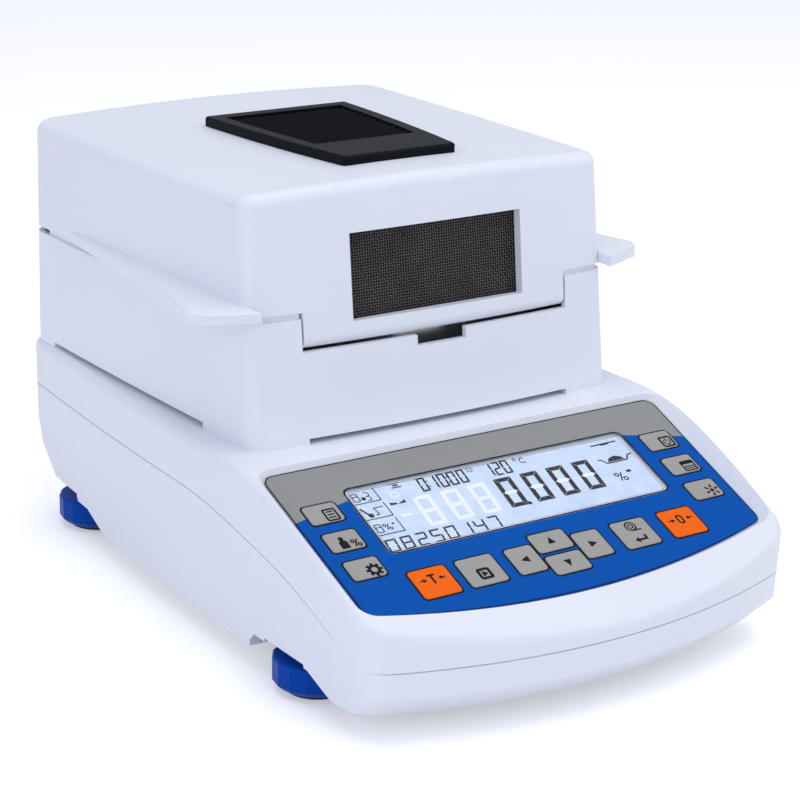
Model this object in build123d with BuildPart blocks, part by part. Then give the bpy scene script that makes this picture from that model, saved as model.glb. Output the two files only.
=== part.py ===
from build123d import *
import math
import os

os.makedirs("parts", exist_ok=True)

# Sizes in millimetres. +Z is up, the keypad faces -Y, and the floor is Z 0.

# Plan of the base
base_length = 322.0
base_half_rear = 93.0
base_half_front = 102.0
base_side_bow = 4.5
base_front_bow = 21.0
base_corner_rear = 14.0
base_corner_front = 15.0
base_skirt_rear = 4.5
base_skirt_front = 2.5
base_skirt_top = 47.0
base_nose_setback = 10.5
base_nose_bottom = 20.5
base_wall = 2.8

# Heights of the base
base_underside = 10.4
base_top = 83.7
base_rim_radius = 4.0
bend_from_front = 120.0
nose_rise = 7.6
nose_height = 36.5
rear_undercut_height = 43.0
rear_undercut_depth = 30.0
parting_rear = 63.0
parting_front = 31.6
parting_groove = 0.5
groove_depth = 0.9

# Keypad
keypad_rear_from_front = 105.6
keypad_rear_height = 80.6
keypad_tilt = 22.2
keypad_half_rear = 96.4
keypad_half_front = 95.5
keypad_side_length = 80.7
keypad_length = 94.0
keypad_corner = 5.0
overlay_thickness = 0.8
panel_thickness = 2.6
recess_margin = 0.3
recess_flare = 38.0
key_gap = 0.3
key_rise = 0.4
key_travel = 0.5
key_corner = 1.6
side_key_size = (14.6, 10.4)
side_key_x = keypad_half_rear - 13.8
side_key_first = 25.8
side_key_pitch = 16.1
row_key_y = 72.5
function_key_size = (16.8, 15.2)
zero_key_x = keypad_half_rear - 36.2
start_key_x = -38.6
enter_key_x = 36.2
arrow_centre_x = -1.6
arrow_side_size = (12.8, 14.4)
arrow_side_offset = 16.2
arrow_updown_size = (16.8, 10.4)
arrow_updown_offset = 6.4
display_size = (137.2, 38.8)
display_from_rear = 34.6
display_corner = 3.5
display_ledge = 1.6
lcd_thickness = 6.0
lcd_gap = 0.1
lcd_margin = 0.4
board_thickness = 1.6
board_drop = 7.5
dome_radius = 3.0
board_posts = [(-88.0, -50.3), (88.0, -50.3), (-48.0, -61.0), (48.0, -61.0)]
board_post_radius = 2.0

# Drying chamber and lid, one drafted form
box_half_front = 88.5
box_half_rear = 92.3
box_side_bow = 1.6
box_front = -base_length / 2 + keypad_rear_from_front + 18.0
box_front_bow = 4.1
box_rear = base_length / 2 - 4.4
box_front_lean = 0.105
box_side_lean = 0.02
box_corner_front = 8.0
box_corner_rear = 10.0
box_wall = 2.8
standoff_height = 2.3
standoff_half = 64.0
standoff_front_end = box_front + 38.4
standoff_rear_start = box_rear - 22.6
standoff_width = box_wall + 1.2
housing_top = 134.2
housing_floor = 3.0
housing_lip = 2.2
lip_inset = 1.3
lid_bottom = 136.7
lid_top = 186.2
lid_crown = 3.2
lid_edge_radius = 5.5
tab_half = 64.0
tab_bottom = 121.7
tab_gap = 1.0
tab_corner = 4.0
notch_half = 12.0
notch_height = 5.4
window_half = 41.7
window_bottom = 130.7
window_top = 166.0
window_frame = 5.0
window_frame_depth = 2.4
mesh_thickness = 0.8
glass_thickness = 2.0
ear_tip = 110.0
ear_front = box_front + 7.4
ear_rear = box_rear - 38.6
ear_thickness = 4.5
ear_edge = 1.0
ear_corner = 3.2

# Vent grille
grille_front = box_front + 32.0
grille_rear = grille_front + 100.5
grille_half_front = 27.4
grille_half_rear = 36.1
grille_side_bow = 1.6
grille_thickness = 3.8
grille_sink = 1.2
grille_slats_front = grille_front + 26.4
grille_slats_rear = grille_rear - 7.1
grille_frame = 6.4
slat_count = 12
slat_tilt = -35.0
slat_thickness = 1.3

# Weighing
pan_y = box_front + 89.4
pan_radius = 45.0
pan_depth = 7.5
pan_sheet = 0.6
pan_rim = 3.6
pan_seat = 117.0
tray_floor = 104.0
tray_sheet = 1.0
tray_gap = 9.0
tray_rear = box_rear - 18.6
shield_radius = 55.0
shield_height = 16.0
shield_sheet = 1.2
spindle_radius = 4.0
spindle_hole = 8.0
cell_size = (30.0, 80.0, 22.0)
cell_bottom = 36.0
arm_thickness = 2.0
sensor_radius = 1.5
sensor_z = 128.5
sensor_x = 30.0
sensor_length = 26.0

# Lid insides
liner_inset = 6.0
liner_top = 176.5
liner_rear = box_rear - 10.6
liner_sheet = 1.0
liner_post_x = 60.0
liner_post_radius = 4.0
lamp_radius = 5.5
lamp_length = 118.0
lamp_z = 161.0
lamp_spacing = 46.0
socket_length = 12.0
socket_half = 9.0
reflector_half_bottom = 20.0
reflector_half_top = 10.0
guard_z = 146.0
guard_wire = 1.0
guard_half = 68.0
guard_front = pan_y - 52.0
guard_rear = pan_y + 52.0
guard_count = 9
guard_border = 3.0

# Hinge
hinge_y = box_rear - 3.5
hinge_z = 138.5
hinge_x = 58.0
hinge_pin_radius = 1.5
hinge_eye_radius = 3.5
hinge_width = 6.0
knuckle_width = 6.0
hinge_gap = 0.3

# Feet
foot_rear = (76.9, base_length / 2 - 35.7)
foot_front = (85.5, -base_length / 2 + 80.7)
foot_radius = 17.8
foot_lobes = 16
wheel_bottom = 2.4
wheel_top = 14.4
pad_radius = 13.0
pad_height = 3.2
pocket_radius = 21.0
pocket_front = 18.5
pocket_rear = 20.5
pocket_wall = 2.0
bay_reach = 27.0
bay_lift = 6.6
bay_flat_front = 16.7
bay_flat_rear = 24.0
bay_slope = 16.0
stem_radius = 3.0
stem_top = 38.0
insert_radius = 4.6
insert_length = 12.0
boss_radius = 7.5
post_x = 84.0
post_front = -base_length / 2 + 116.0
post_rear = base_length / 2 - 81.0
post_radius = 4.5
post_meeting = 8.0
screw_radius = 1.9
screw_head = 2.4

# Rear panel
panel_half = 62.0
panel_bottom = 46.5
panel_top = 76.0
panel_sheet = 2.0
panel_lap = 1.5
inlet_x = -42.0
inlet_size = (27.4, 20.0)
inlet_depth = 18.0
inlet_flange = 1.5
pin_size = (2.0, 4.0)
serial_x = (-6.0, 24.0)
serial_body = (17.0, 8.6, 10.0)
serial_flange = (30.8, 12.4)
usb_x = (46.0, 54.5)
usb_size = (5.8, 13.4)
usb_depth = 14.0
usb_wall = 0.6

base_front_y = -base_length / 2
base_rear_y = base_length / 2
bend_y = base_front_y + bend_from_front
keypad_y = base_front_y + keypad_rear_from_front
keypad_plane = Plane(
    origin=(0, keypad_y, keypad_rear_height),
    x_dir=(1, 0, 0),
    z_dir=(0, -math.sin(math.radians(keypad_tilt)), math.cos(math.radians(keypad_tilt))),
)


def save(piece, name):
    """Label one finished piece and write it to its own file."""
    piece.part.label = name
    export_step(piece.part, f"parts/{name}.step")


def on_keypad(drop):
    """The keypad's plane, moved down into the cover by a distance."""
    return keypad_plane.offset(-drop)


def rounded_plan(half_front, half_rear, front, front_bow, rear, side_bow, radius_front, radius_rear):
    """A plan with bowed front and sides and rounded corners."""
    middle_half = (half_front + half_rear) / 2 + side_bow
    middle_y = (front + rear) / 2
    with BuildSketch() as plan:
        with BuildLine():
            ThreePointArc((-half_front, front), (0, front - front_bow), (half_front, front))
            ThreePointArc((half_front, front), (middle_half, middle_y), (half_rear, rear))
            Line((half_rear, rear), (-half_rear, rear))
            ThreePointArc((-half_rear, rear), (-middle_half, middle_y), (-half_front, front))
        make_face()
        fillet(plan.vertices().group_by(Axis.Y)[0], radius_front)
        fillet(plan.vertices().group_by(Axis.Y)[-1], radius_rear)
    return plan.sketch


def base_plan(inset, skirt=0.0, setback=0.0):
    """The base's plan, drawn in by a wall, by a share of the skirt and by the nose's setback."""
    return rounded_plan(
        base_half_front - inset - skirt * base_skirt_front,
        base_half_rear - inset - skirt * base_skirt_rear,
        base_front_y + base_front_bow + inset + setback,
        base_front_bow,
        base_rear_y - inset,
        base_side_bow,
        base_corner_front - inset,
        base_corner_rear - inset,
    )


def region_over_parting(drop, height):
    """The side view of what lies over the parting line, or of a thin band at it."""
    front = base_front_y - 10
    rear = base_rear_y + 10
    knee = base_front_y + 26
    with BuildSketch() as region:
        with BuildLine():
            Line((rear, parting_rear - drop), (bend_y + 40, parting_rear - drop))
            Spline(
                (bend_y + 40, parting_rear - drop),
                (bend_y - 15, parting_rear - 6 - drop),
                (base_front_y + 56, parting_rear - 19 - drop),
                (base_front_y + 37, parting_front + 3 - drop),
                (knee, parting_front - drop),
                tangents=[(-1, 0), (-1, 0)],
            )
            Line((knee, parting_front - drop), (front, parting_front - drop))
            Line((front, parting_front - drop), (front, height))
            Line((front, height), (rear, height))
            Line((rear, height), (rear, parting_rear - drop))
        make_face()
    return region.sketch


def cover_profile(inset):
    """The side view of the base: flat top, a curved nose and an undercut at the rear."""
    bottom = base_underside + inset
    nose_end = base_front_y + 11
    with BuildSketch() as profile:
        with BuildLine():
            if inset == 0:
                Spline(
                    (bend_y, base_top),
                    ((bend_y + nose_end) / 2, (base_top + nose_height + 6) / 2 + nose_rise),
                    (nose_end, nose_height + 7),
                    (base_front_y - 1, nose_height),
                    tangents=[(-1, 0), (-1, -0.62)],
                )
                Line((base_front_y - 1, nose_height), (base_front_y - 1, bottom))
                Line((base_front_y - 1, bottom), (base_front_y, bottom))
            else:
                tilt = math.radians(keypad_tilt)
                drop = (overlay_thickness + panel_thickness) / math.cos(tilt)
                at_front = keypad_rear_height - drop - (keypad_y - base_front_y) * math.tan(tilt)
                Line((bend_y, base_top - inset), (keypad_y, keypad_rear_height - drop))
                Line((keypad_y, keypad_rear_height - drop), (base_front_y, at_front))
                Line((base_front_y, at_front), (base_front_y, bottom))
            Line((base_front_y, bottom), (base_rear_y - rear_undercut_depth, bottom))
            ThreePointArc(
                (base_rear_y - rear_undercut_depth, bottom),
                (base_rear_y - rear_undercut_depth * 0.45, bottom + (rear_undercut_height - base_underside) * 0.62),
                (base_rear_y, rear_undercut_height + inset * 0.5),
            )
            Line((base_rear_y, rear_undercut_height + inset * 0.5), (base_rear_y, base_top - inset))
            Line((base_rear_y, base_top - inset), (bend_y, base_top - inset))
        make_face()
    return profile.sketch


def base_form(inset):
    """The whole base as one solid, drawn in by the wall for its cavity."""
    skirt_share = (base_skirt_top - base_nose_bottom) / (base_skirt_top - base_underside)
    with BuildPart() as form:
        with BuildSketch(Plane.XY.offset(base_skirt_top)):
            add(base_plan(inset))
        extrude(amount=base_top - base_skirt_top)
        with BuildSketch(Plane.XY.offset(base_skirt_top)):
            add(base_plan(inset))
        with BuildSketch(Plane.XY.offset(base_nose_bottom)):
            add(base_plan(inset, skirt_share))
        loft(ruled=True)
        with BuildSketch(Plane.XY.offset(base_nose_bottom)):
            add(base_plan(inset, skirt_share))
        with BuildSketch(Plane.XY.offset(base_underside)):
            add(base_plan(inset, 1.0, base_nose_setback))
        loft(ruled=True)
        with BuildSketch(Plane.YZ.offset(-base_half_front * 2)):
            add(cover_profile(inset))
        extrude(amount=base_half_front * 4, mode=Mode.INTERSECT)
    return form.part


def over_parting(drop):
    """The solid region over the parting line, lowered by a distance."""
    with BuildPart() as region:
        with BuildSketch(Plane.YZ.offset(-base_half_front * 2)):
            add(region_over_parting(drop, base_top + 20))
        extrude(amount=base_half_front * 4)
    return region.part


def keypad_outline(margin):
    """The overlay's outline on the keypad's plane, origin at the middle of its rear edge."""
    with BuildSketch() as outline:
        with BuildLine():
            Line((-keypad_half_rear - margin, margin), (keypad_half_rear + margin, margin))
            Line((keypad_half_rear + margin, margin), (keypad_half_front + margin, -keypad_side_length))
            ThreePointArc(
                (keypad_half_front + margin, -keypad_side_length),
                (0, -keypad_length - margin),
                (-keypad_half_front - margin, -keypad_side_length),
            )
            Line((-keypad_half_front - margin, -keypad_side_length), (-keypad_half_rear - margin, margin))
        make_face()
        fillet(outline.vertices(), keypad_corner + margin)
    return outline.sketch


def arrow_spot(dx, dy):
    """Where an arrow key stands on the keypad."""
    return (arrow_centre_x + dx, -(row_key_y + dy))


def side_spot(side, row):
    """Where a key of the left or right column stands on the keypad."""
    return (side * side_key_x, -(side_key_first + row * side_key_pitch))


keys = {
    "key_left_upper": (side_spot(-1, 0), side_key_size),
    "key_left_middle": (side_spot(-1, 1), side_key_size),
    "key_left_lower": (side_spot(-1, 2), side_key_size),
    "key_right_upper": (side_spot(1, 0), side_key_size),
    "key_right_middle": (side_spot(1, 1), side_key_size),
    "key_right_lower": (side_spot(1, 2), side_key_size),
    "key_tare": ((-zero_key_x, -row_key_y), function_key_size),
    "key_zero": ((zero_key_x, -row_key_y), function_key_size),
    "key_start": ((start_key_x, -row_key_y), function_key_size),
    "key_enter": ((enter_key_x, -row_key_y), function_key_size),
    "key_arrow_left": (arrow_spot(-arrow_side_offset, 0), arrow_side_size),
    "key_arrow_right": (arrow_spot(arrow_side_offset, 0), arrow_side_size),
    "key_arrow_up": (arrow_spot(0, -arrow_updown_offset), arrow_updown_size),
    "key_arrow_down": (arrow_spot(0, arrow_updown_offset), arrow_updown_size),
}


def key_faces(gap):
    """All key outlines, widened by the gap of their holes."""
    with BuildSketch() as faces:
        for spot, size in keys.values():
            with Locations(spot):
                RectangleRounded(size[0] + 2 * gap, size[1] + 2 * gap, key_corner + gap)
    return faces.sketch


def display_face(margin):
    """The display window's outline on the keypad's plane."""
    with BuildSketch() as face:
        with Locations((0, -display_from_rear)):
            RectangleRounded(
                display_size[0] + 2 * margin, display_size[1] + 2 * margin, display_corner + margin
            )
    return face.sketch


def box_plan(z, inset):
    """The plan of chamber and lid at a height; the front leans back and the sides lean in."""
    rise = z - base_top
    half_front = box_half_front - rise * box_side_lean - inset
    half_rear = box_half_rear - rise * box_side_lean - inset
    front = box_front + rise * box_front_lean + inset
    return rounded_plan(
        half_front,
        half_rear,
        front,
        box_front_bow,
        box_rear - inset,
        box_side_bow,
        max(box_corner_front - inset, 2.0),
        max(box_corner_rear - inset, 2.0),
    )


def box_form(bottom, top, inset):
    """A stretch of the drafted form between two heights."""
    with BuildPart() as form:
        with BuildSketch(Plane.XY.offset(bottom)):
            add(box_plan(bottom, inset))
        with BuildSketch(Plane.XY.offset(top)):
            add(box_plan(top, inset))
        loft(ruled=True)
    return form.part


def block(x0, x1, y0, y1, z0, z1):
    """A plain block between six limits."""
    with BuildPart() as piece:
        with Locations(((x0 + x1) / 2, (y0 + y1) / 2, (z0 + z1) / 2)):
            Box(x1 - x0, y1 - y0, z1 - z0)
    return piece.part


def crown_height(x):
    """The height of the lid's crowned top at a distance from its middle."""
    side = box_half_rear + 10
    radius = (side ** 2 + lid_crown ** 2) / (2 * lid_crown)
    return lid_top - radius + math.sqrt(radius ** 2 - x ** 2)


def under_crown(drop):
    """Everything under the lid's crowned top, which falls a little to both sides."""
    side = box_half_rear + 10
    with BuildPart() as region:
        with BuildSketch(Plane.XZ.offset(-box_rear - 10)):
            with BuildLine():
                ThreePointArc((-side, lid_top - lid_crown - drop), (0, lid_top - drop), (side, lid_top - lid_crown - drop))
                Polyline(
                    (side, lid_top - lid_crown - drop), (side, tab_bottom - 10),
                    (-side, tab_bottom - 10), (-side, lid_top - lid_crown - drop),
                )
            make_face()
        extrude(amount=box_rear - box_front + 40)
    return region.part


def front_face_y(z):
    """The front face's middle at a height."""
    return box_front - box_front_bow + (z - base_top) * box_front_lean


foot_spots = {
    "front_left": (-foot_front[0], foot_front[1]),
    "front_right": foot_front,
    "rear_left": (-foot_rear[0], foot_rear[1]),
    "rear_right": foot_rear,
}
pocket_top = {name: pocket_front if "front" in name else pocket_rear for name in foot_spots}
bay_flat = {name: bay_flat_front if "front" in name else bay_flat_rear for name in foot_spots}
boss_top = {name: top + insert_length + 4 for name, top in pocket_top.items()}
post_spots = [(x, y) for x in (-post_x, post_x) for y in (post_front, post_rear)]


def foot_bay(spot, flat, wall):
    """The hollow over a levelling wheel, open at the side, with a sloping end towards the front."""
    side = math.copysign(1, spot[0])
    top = base_underside + bay_lift + wall
    inner = abs(spot[0]) - pocket_radius - wall
    with BuildPart() as bay:
        with BuildSketch(Plane.YZ.offset(side * inner)):
            with BuildLine():
                Polyline(
                    (spot[1] + bay_reach + wall, 0),
                    (spot[1] + bay_reach + wall, top - 4),
                    (spot[1] + bay_reach - 4, top),
                    (spot[1] - flat, top),
                    (spot[1] - flat - bay_slope - wall, base_underside),
                    (spot[1] - flat - bay_slope - wall, 0),
                    close=True,
                )
            make_face()
        extrude(amount=side * base_half_front)
    return bay.part


def cover_screw_set():
    """Long screws that rise from the underside through the posts into the cover."""
    with BuildPart() as screws:
        for spot in post_spots:
            with BuildSketch(Plane.XY.offset(base_underside)):
                with Locations(spot):
                    Circle(screw_radius * 2)
            extrude(amount=screw_head)
            with BuildSketch(Plane.XY.offset(base_underside + screw_head / 2)):
                with Locations(spot):
                    Circle(screw_radius)
            extrude(amount=parting_rear + 2 * post_meeting - base_underside)
    return screws.part


with BuildPart() as base_outer:
    add(base_form(0))
    rim_faces = base_outer.faces().filter_by(lambda f: f.normal_at().Z > 0.6)
    rim_edges = rim_faces.edges().filter_by(lambda e: abs(e.center().Y - bend_y) > 1)
    fillet(rim_edges, base_rim_radius)

with BuildPart() as base_cavity:
    add(base_form(base_wall))

with BuildPart() as rear_opening:
    with Locations((0, base_rear_y, (panel_bottom + panel_top) / 2)):
        Box(2 * panel_half, 4 * base_wall, panel_top - panel_bottom)

with BuildPart() as base_cover:
    add(base_outer.part)
    add(base_cavity.part, mode=Mode.SUBTRACT)
    add(over_parting(0), mode=Mode.INTERSECT)
    with BuildSketch(on_keypad(overlay_thickness)):
        add(keypad_outline(recess_margin))
    extrude(amount=30, taper=-recess_flare, mode=Mode.SUBTRACT)
    with BuildSketch(on_keypad(overlay_thickness)):
        add(key_faces(key_gap))
        add(display_face(-display_ledge))
    extrude(amount=-2 * panel_thickness, mode=Mode.SUBTRACT)
    with Locations((0, pan_y, base_top)):
        Cylinder(spindle_hole, 4 * base_wall, mode=Mode.SUBTRACT)
    with BuildSketch(Plane.XY.offset(base_top - base_wall)):
        with Locations(*post_spots):
            Circle(post_radius)
    extrude(amount=-(base_top - base_wall - parting_rear - post_meeting))
    add(cover_screw_set(), mode=Mode.SUBTRACT)
    add(rear_opening.part, mode=Mode.SUBTRACT)
save(base_cover, "base_cover")

with BuildPart() as base_bottom:
    add(base_outer.part)
    add(base_cavity.part, mode=Mode.SUBTRACT)
    add(over_parting(0), mode=Mode.SUBTRACT)
    with BuildPart(mode=Mode.PRIVATE) as groove:
        add(over_parting(parting_groove))
        with BuildSketch(Plane.XY):
            add(base_plan(groove_depth, 0.0))
        extrude(amount=base_top * 2, mode=Mode.SUBTRACT)
    add(groove.part, mode=Mode.SUBTRACT)
    for name, spot in foot_spots.items():
        with BuildSketch(Plane.XY.offset(pocket_top[name])):
            with Locations(spot):
                Circle(boss_radius)
        extrude(amount=boss_top[name] - pocket_top[name])
        with BuildSketch(Plane.XY.offset(base_underside)):
            with Locations(spot):
                Circle(pocket_radius + pocket_wall)
        extrude(amount=pocket_top[name] + pocket_wall - base_underside)
        add(foot_bay(spot, bay_flat[name], pocket_wall))
    add(base_outer.part, mode=Mode.INTERSECT)
    for name, spot in foot_spots.items():
        with BuildSketch(Plane.XY):
            with Locations(spot):
                Circle(pocket_radius)
        extrude(amount=pocket_top[name], mode=Mode.SUBTRACT)
        add(foot_bay(spot, bay_flat[name], 0), mode=Mode.SUBTRACT)
        with BuildSketch(Plane.XY):
            with Locations(spot):
                Circle(insert_radius)
        extrude(amount=boss_top[name] + 10, mode=Mode.SUBTRACT)
    with BuildSketch(Plane.XY.offset(base_underside + base_wall)):
        with Locations(*post_spots):
            Circle(post_radius)
    extrude(amount=parting_rear + post_meeting - base_underside - base_wall)
    add(cover_screw_set(), mode=Mode.SUBTRACT)
    add(rear_opening.part, mode=Mode.SUBTRACT)
save(base_bottom, "base_bottom")

with BuildPart() as keypad_overlay:
    with BuildSketch(on_keypad(overlay_thickness)):
        add(keypad_outline(0))
        add(key_faces(key_gap), mode=Mode.SUBTRACT)
        add(display_face(key_gap), mode=Mode.SUBTRACT)
    extrude(amount=overlay_thickness)
save(keypad_overlay, "keypad_overlay")

with BuildPart() as display_window:
    with BuildSketch(on_keypad(overlay_thickness)):
        add(display_face(0))
    extrude(amount=overlay_thickness)
save(display_window, "display_window")

panel_back = overlay_thickness + panel_thickness
with BuildPart() as lcd_module:
    with BuildSketch(on_keypad(panel_back)):
        add(display_face(2.0))
    extrude(amount=-lcd_thickness)
    with BuildSketch(on_keypad(panel_back)):
        add(display_face(-display_ledge - lcd_margin))
    extrude(amount=panel_thickness - lcd_gap)
save(lcd_module, "lcd_module")

with BuildPart() as keypad_board:
    with BuildSketch(on_keypad(board_drop)):
        with Locations((0, -(side_key_first + row_key_y) / 2)):
            Rectangle(2 * side_key_x + 20, row_key_y - side_key_first + 34)
        add(display_face(4.0), mode=Mode.SUBTRACT)
    extrude(amount=-board_thickness)
    with BuildSketch(on_keypad(board_drop)):
        with Locations(*[spot for spot, size in keys.values()]):
            Circle(dome_radius)
    extrude(amount=board_drop - panel_back - key_travel - 0.2)
    with BuildSketch(on_keypad(board_drop)):
        with Locations(*board_posts):
            Circle(board_post_radius)
    extrude(amount=board_drop - panel_back)
save(keypad_board, "keypad_board")

for key_name, (spot, size) in keys.items():
    with BuildPart() as key:
        with BuildSketch(on_keypad(panel_back)):
            with Locations(spot):
                RectangleRounded(size[0], size[1], key_corner)
        extrude(amount=panel_back + key_rise)
        top_rim = key.faces().sort_by(lambda face: face.center().dot(keypad_plane.z_dir))[-1]
        fillet(top_rim.edges(), key_rise * 0.8)
    save(key, key_name)

with BuildPart() as main_board:
    with Locations((0, -50, base_underside + base_wall + 6)):
        Box(118, 70, board_thickness)
    board_face = base_underside + base_wall + 6 + board_thickness / 2
    with Locations(*[(x, y, base_underside + base_wall) for x in (-54, 54) for y in (-80, -20)]):
        Cylinder(3, 6 - board_thickness / 2, align=(Align.CENTER, Align.CENTER, Align.MIN))
    with Locations((-30, -50, board_face), (25, -35, board_face)):
        Box(24, 24, 3, align=(Align.CENTER, Align.CENTER, Align.MIN))
    with Locations((45, -62, board_face), (-50, -40, board_face)):
        Cylinder(5, 12, align=(Align.CENTER, Align.CENTER, Align.MIN))
save(main_board, "main_board")

supply_floor = base_underside + base_wall
with BuildPart() as power_supply:
    with Locations((-52, 42, supply_floor)):
        Box(44, 76, 30, align=(Align.CENTER, Align.CENTER, Align.MIN))
    fillet(power_supply.edges().filter_by(Axis.Z), 2)
save(power_supply, "power_supply")

cell_y = pan_y + cell_size[1] / 2 - cell_size[0] / 2
cell_top = cell_bottom + cell_size[2]
with BuildPart() as load_cell:
    with BuildSketch(Plane.YZ.offset(-cell_size[0] / 2)):
        with Locations((cell_y, cell_bottom + cell_size[2] / 2)):
            Rectangle(cell_size[1], cell_size[2])
            with Locations((-14, 0), (14, 0)):
                Circle(6.5, mode=Mode.SUBTRACT)
            Rectangle(28, 5, mode=Mode.SUBTRACT)
    extrude(amount=cell_size[0])
save(load_cell, "load_cell")

with BuildPart() as load_cell_mount:
    with Locations((0, cell_y + cell_size[1] / 2 - 13, supply_floor)):
        Box(cell_size[0] + 12, 26, cell_bottom - supply_floor, align=(Align.CENTER, Align.CENTER, Align.MIN))
    fillet(load_cell_mount.edges().filter_by(Axis.Z), 3)
save(load_cell_mount, "load_cell_mount")

with BuildPart() as pan_spindle:
    with Locations((0, pan_y, cell_top)):
        Cylinder(11, 4, align=(Align.CENTER, Align.CENTER, Align.MIN))
        Cylinder(
            spindle_radius, pan_seat - arm_thickness - cell_top, align=(Align.CENTER, Align.CENTER, Align.MIN)
        )
save(pan_spindle, "pan_spindle")

with BuildPart() as pan_support:
    with BuildSketch(Plane.XY.offset(pan_seat - arm_thickness)):
        with Locations((0, pan_y)):
            Circle(9)
            with PolarLocations(20, 4, start_angle=45):
                SlotOverall(42, 6)
    extrude(amount=arm_thickness)
save(pan_support, "pan_support")

tray_top = housing_top - 1.0
with BuildPart() as chamber_tray:
    with BuildSketch(Plane.XY.offset(tray_floor)) as tray_plan:
        add(box_plan(housing_top, tray_gap))
        with Locations((0, tray_rear + 50)):
            Rectangle(300, 100, mode=Mode.SUBTRACT)
    extrude(amount=tray_top - tray_floor)
    offset(amount=-tray_sheet, openings=chamber_tray.faces().sort_by(Axis.Z)[-1])
    with Locations((0, pan_y, tray_floor)):
        Cylinder(spindle_hole, 10, mode=Mode.SUBTRACT)
save(chamber_tray, "chamber_tray")

shield_bottom = tray_floor + tray_sheet
with BuildPart() as draft_shield:
    with BuildSketch(Plane.XY.offset(shield_bottom)):
        with Locations((0, pan_y)):
            Circle(shield_radius + 5)
            Circle(shield_radius - shield_sheet, mode=Mode.SUBTRACT)
    extrude(amount=shield_sheet)
    with BuildSketch(Plane.XY.offset(shield_bottom)):
        with Locations((0, pan_y)):
            Circle(shield_radius)
            Circle(shield_radius - shield_sheet, mode=Mode.SUBTRACT)
    extrude(amount=shield_height)
save(draft_shield, "draft_shield")

handle_seat = shield_bottom + shield_height
handle_sheet = pan_seat + pan_depth - handle_seat
with BuildPart() as pan_handle:
    with BuildSketch(Plane.XY.offset(handle_seat)):
        with Locations((0, pan_y)):
            Circle(shield_radius + 1)
        with Locations((0, pan_y - shield_radius - 8)):
            RectangleRounded(26, 26, 5)
        with Locations((0, pan_y)):
            Circle(pan_radius + 0.8, mode=Mode.SUBTRACT)
    extrude(amount=1.2)
    with BuildSketch(Plane.XY.offset(handle_seat)):
        with Locations((0, pan_y)):
            Circle(pan_radius + pan_rim)
            Circle(pan_radius + 0.8, mode=Mode.SUBTRACT)
    extrude(amount=handle_sheet)
save(pan_handle, "pan_handle")

with BuildPart() as sample_pan:
    with BuildSketch(Plane.XZ):
        with BuildLine():
            Polyline(
                (0, pan_seat),
                (pan_radius - 2, pan_seat),
                (pan_radius, pan_seat + pan_depth),
                (pan_radius + pan_rim, pan_seat + pan_depth),
                (pan_radius + pan_rim, pan_seat + pan_depth + pan_sheet),
                (pan_radius - pan_sheet, pan_seat + pan_depth + pan_sheet),
                (pan_radius - 2 - pan_sheet, pan_seat + pan_sheet),
                (0, pan_seat + pan_sheet),
                close=True,
            )
        make_face()
    revolve(axis=Axis.Z)
sample_pan.part = sample_pan.part.moved(Location((0, pan_y, 0)))
save(sample_pan, "sample_pan")

housing_bottom = base_top + standoff_height
front_step = block(-tab_half - tab_gap, tab_half + tab_gap, -60, -20, tab_bottom - tab_gap, housing_top + 5)
eye_half = hinge_width / 2 + hinge_gap
with BuildPart() as chamber_housing:
    add(box_form(housing_bottom, housing_top, 0))
    add(box_form(housing_top - 2, housing_top + housing_lip, lip_inset))
    add(box_form(housing_bottom + housing_floor, housing_top + housing_lip + 1, box_wall), mode=Mode.SUBTRACT)
    add(block(-120, 120, hinge_y - 13, 200, housing_top, housing_top + 10), mode=Mode.SUBTRACT)
    add(front_step, mode=Mode.SUBTRACT)
    add(
        block(-notch_half, notch_half, -60, -20, tab_bottom - notch_height, tab_bottom + 1),
        mode=Mode.SUBTRACT,
    )
    for side in (-1, 1):
        x = side * hinge_x
        neck = block(x - eye_half, x + eye_half, hinge_y - 8, hinge_y + 17, hinge_z - hinge_eye_radius - 1, housing_top + 1)
        add(neck, mode=Mode.SUBTRACT)
    with BuildPart(mode=Mode.PRIVATE) as standoffs:
        add(box_form(base_top, housing_bottom, 0))
        add(box_form(base_top, housing_bottom, standoff_width), mode=Mode.SUBTRACT)
        middle = block(-standoff_half, standoff_half, -60, 170, base_top - 1, housing_bottom + 1)
        add(middle, mode=Mode.SUBTRACT)
        sides = block(-120, 120, standoff_front_end, standoff_rear_start, base_top - 1, housing_bottom + 1)
        add(sides, mode=Mode.SUBTRACT)
    add(standoffs.part)
    floor_top = housing_bottom + housing_floor
    with Locations(*[(x, y, floor_top) for x in (-70, 70) for y in (box_front + 19.4, box_rear - 28.6)]):
        Cylinder(5, tray_floor - floor_top, align=(Align.CENTER, Align.CENTER, Align.MIN))
    with Locations((0, pan_y, housing_bottom)):
        Cylinder(spindle_hole, 20, mode=Mode.SUBTRACT)
save(chamber_housing, "chamber_housing")

with BuildPart() as hinge_brackets:
    for side in (-1, 1):
        x = side * hinge_x
        wall_inside = box_rear - box_wall
        add(block(x - 9, x + 9, wall_inside - 2.2, wall_inside, floor_top + 10, hinge_z - hinge_eye_radius - 3))
        add(block(
            x - hinge_width / 2, x + hinge_width / 2, wall_inside - 4.2, wall_inside,
            hinge_z - hinge_eye_radius - 8, hinge_z,
        ))
        with BuildSketch(Plane.YZ.offset(x - hinge_width / 2)):
            with Locations((hinge_y, hinge_z)):
                Circle(hinge_eye_radius)
        extrude(amount=hinge_width)
        with BuildSketch(Plane.YZ.offset(x - hinge_width / 2)):
            with Locations((hinge_y, hinge_z)):
                Circle(hinge_pin_radius)
        extrude(amount=hinge_width, mode=Mode.SUBTRACT)
save(hinge_brackets, "hinge_brackets")

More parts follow.
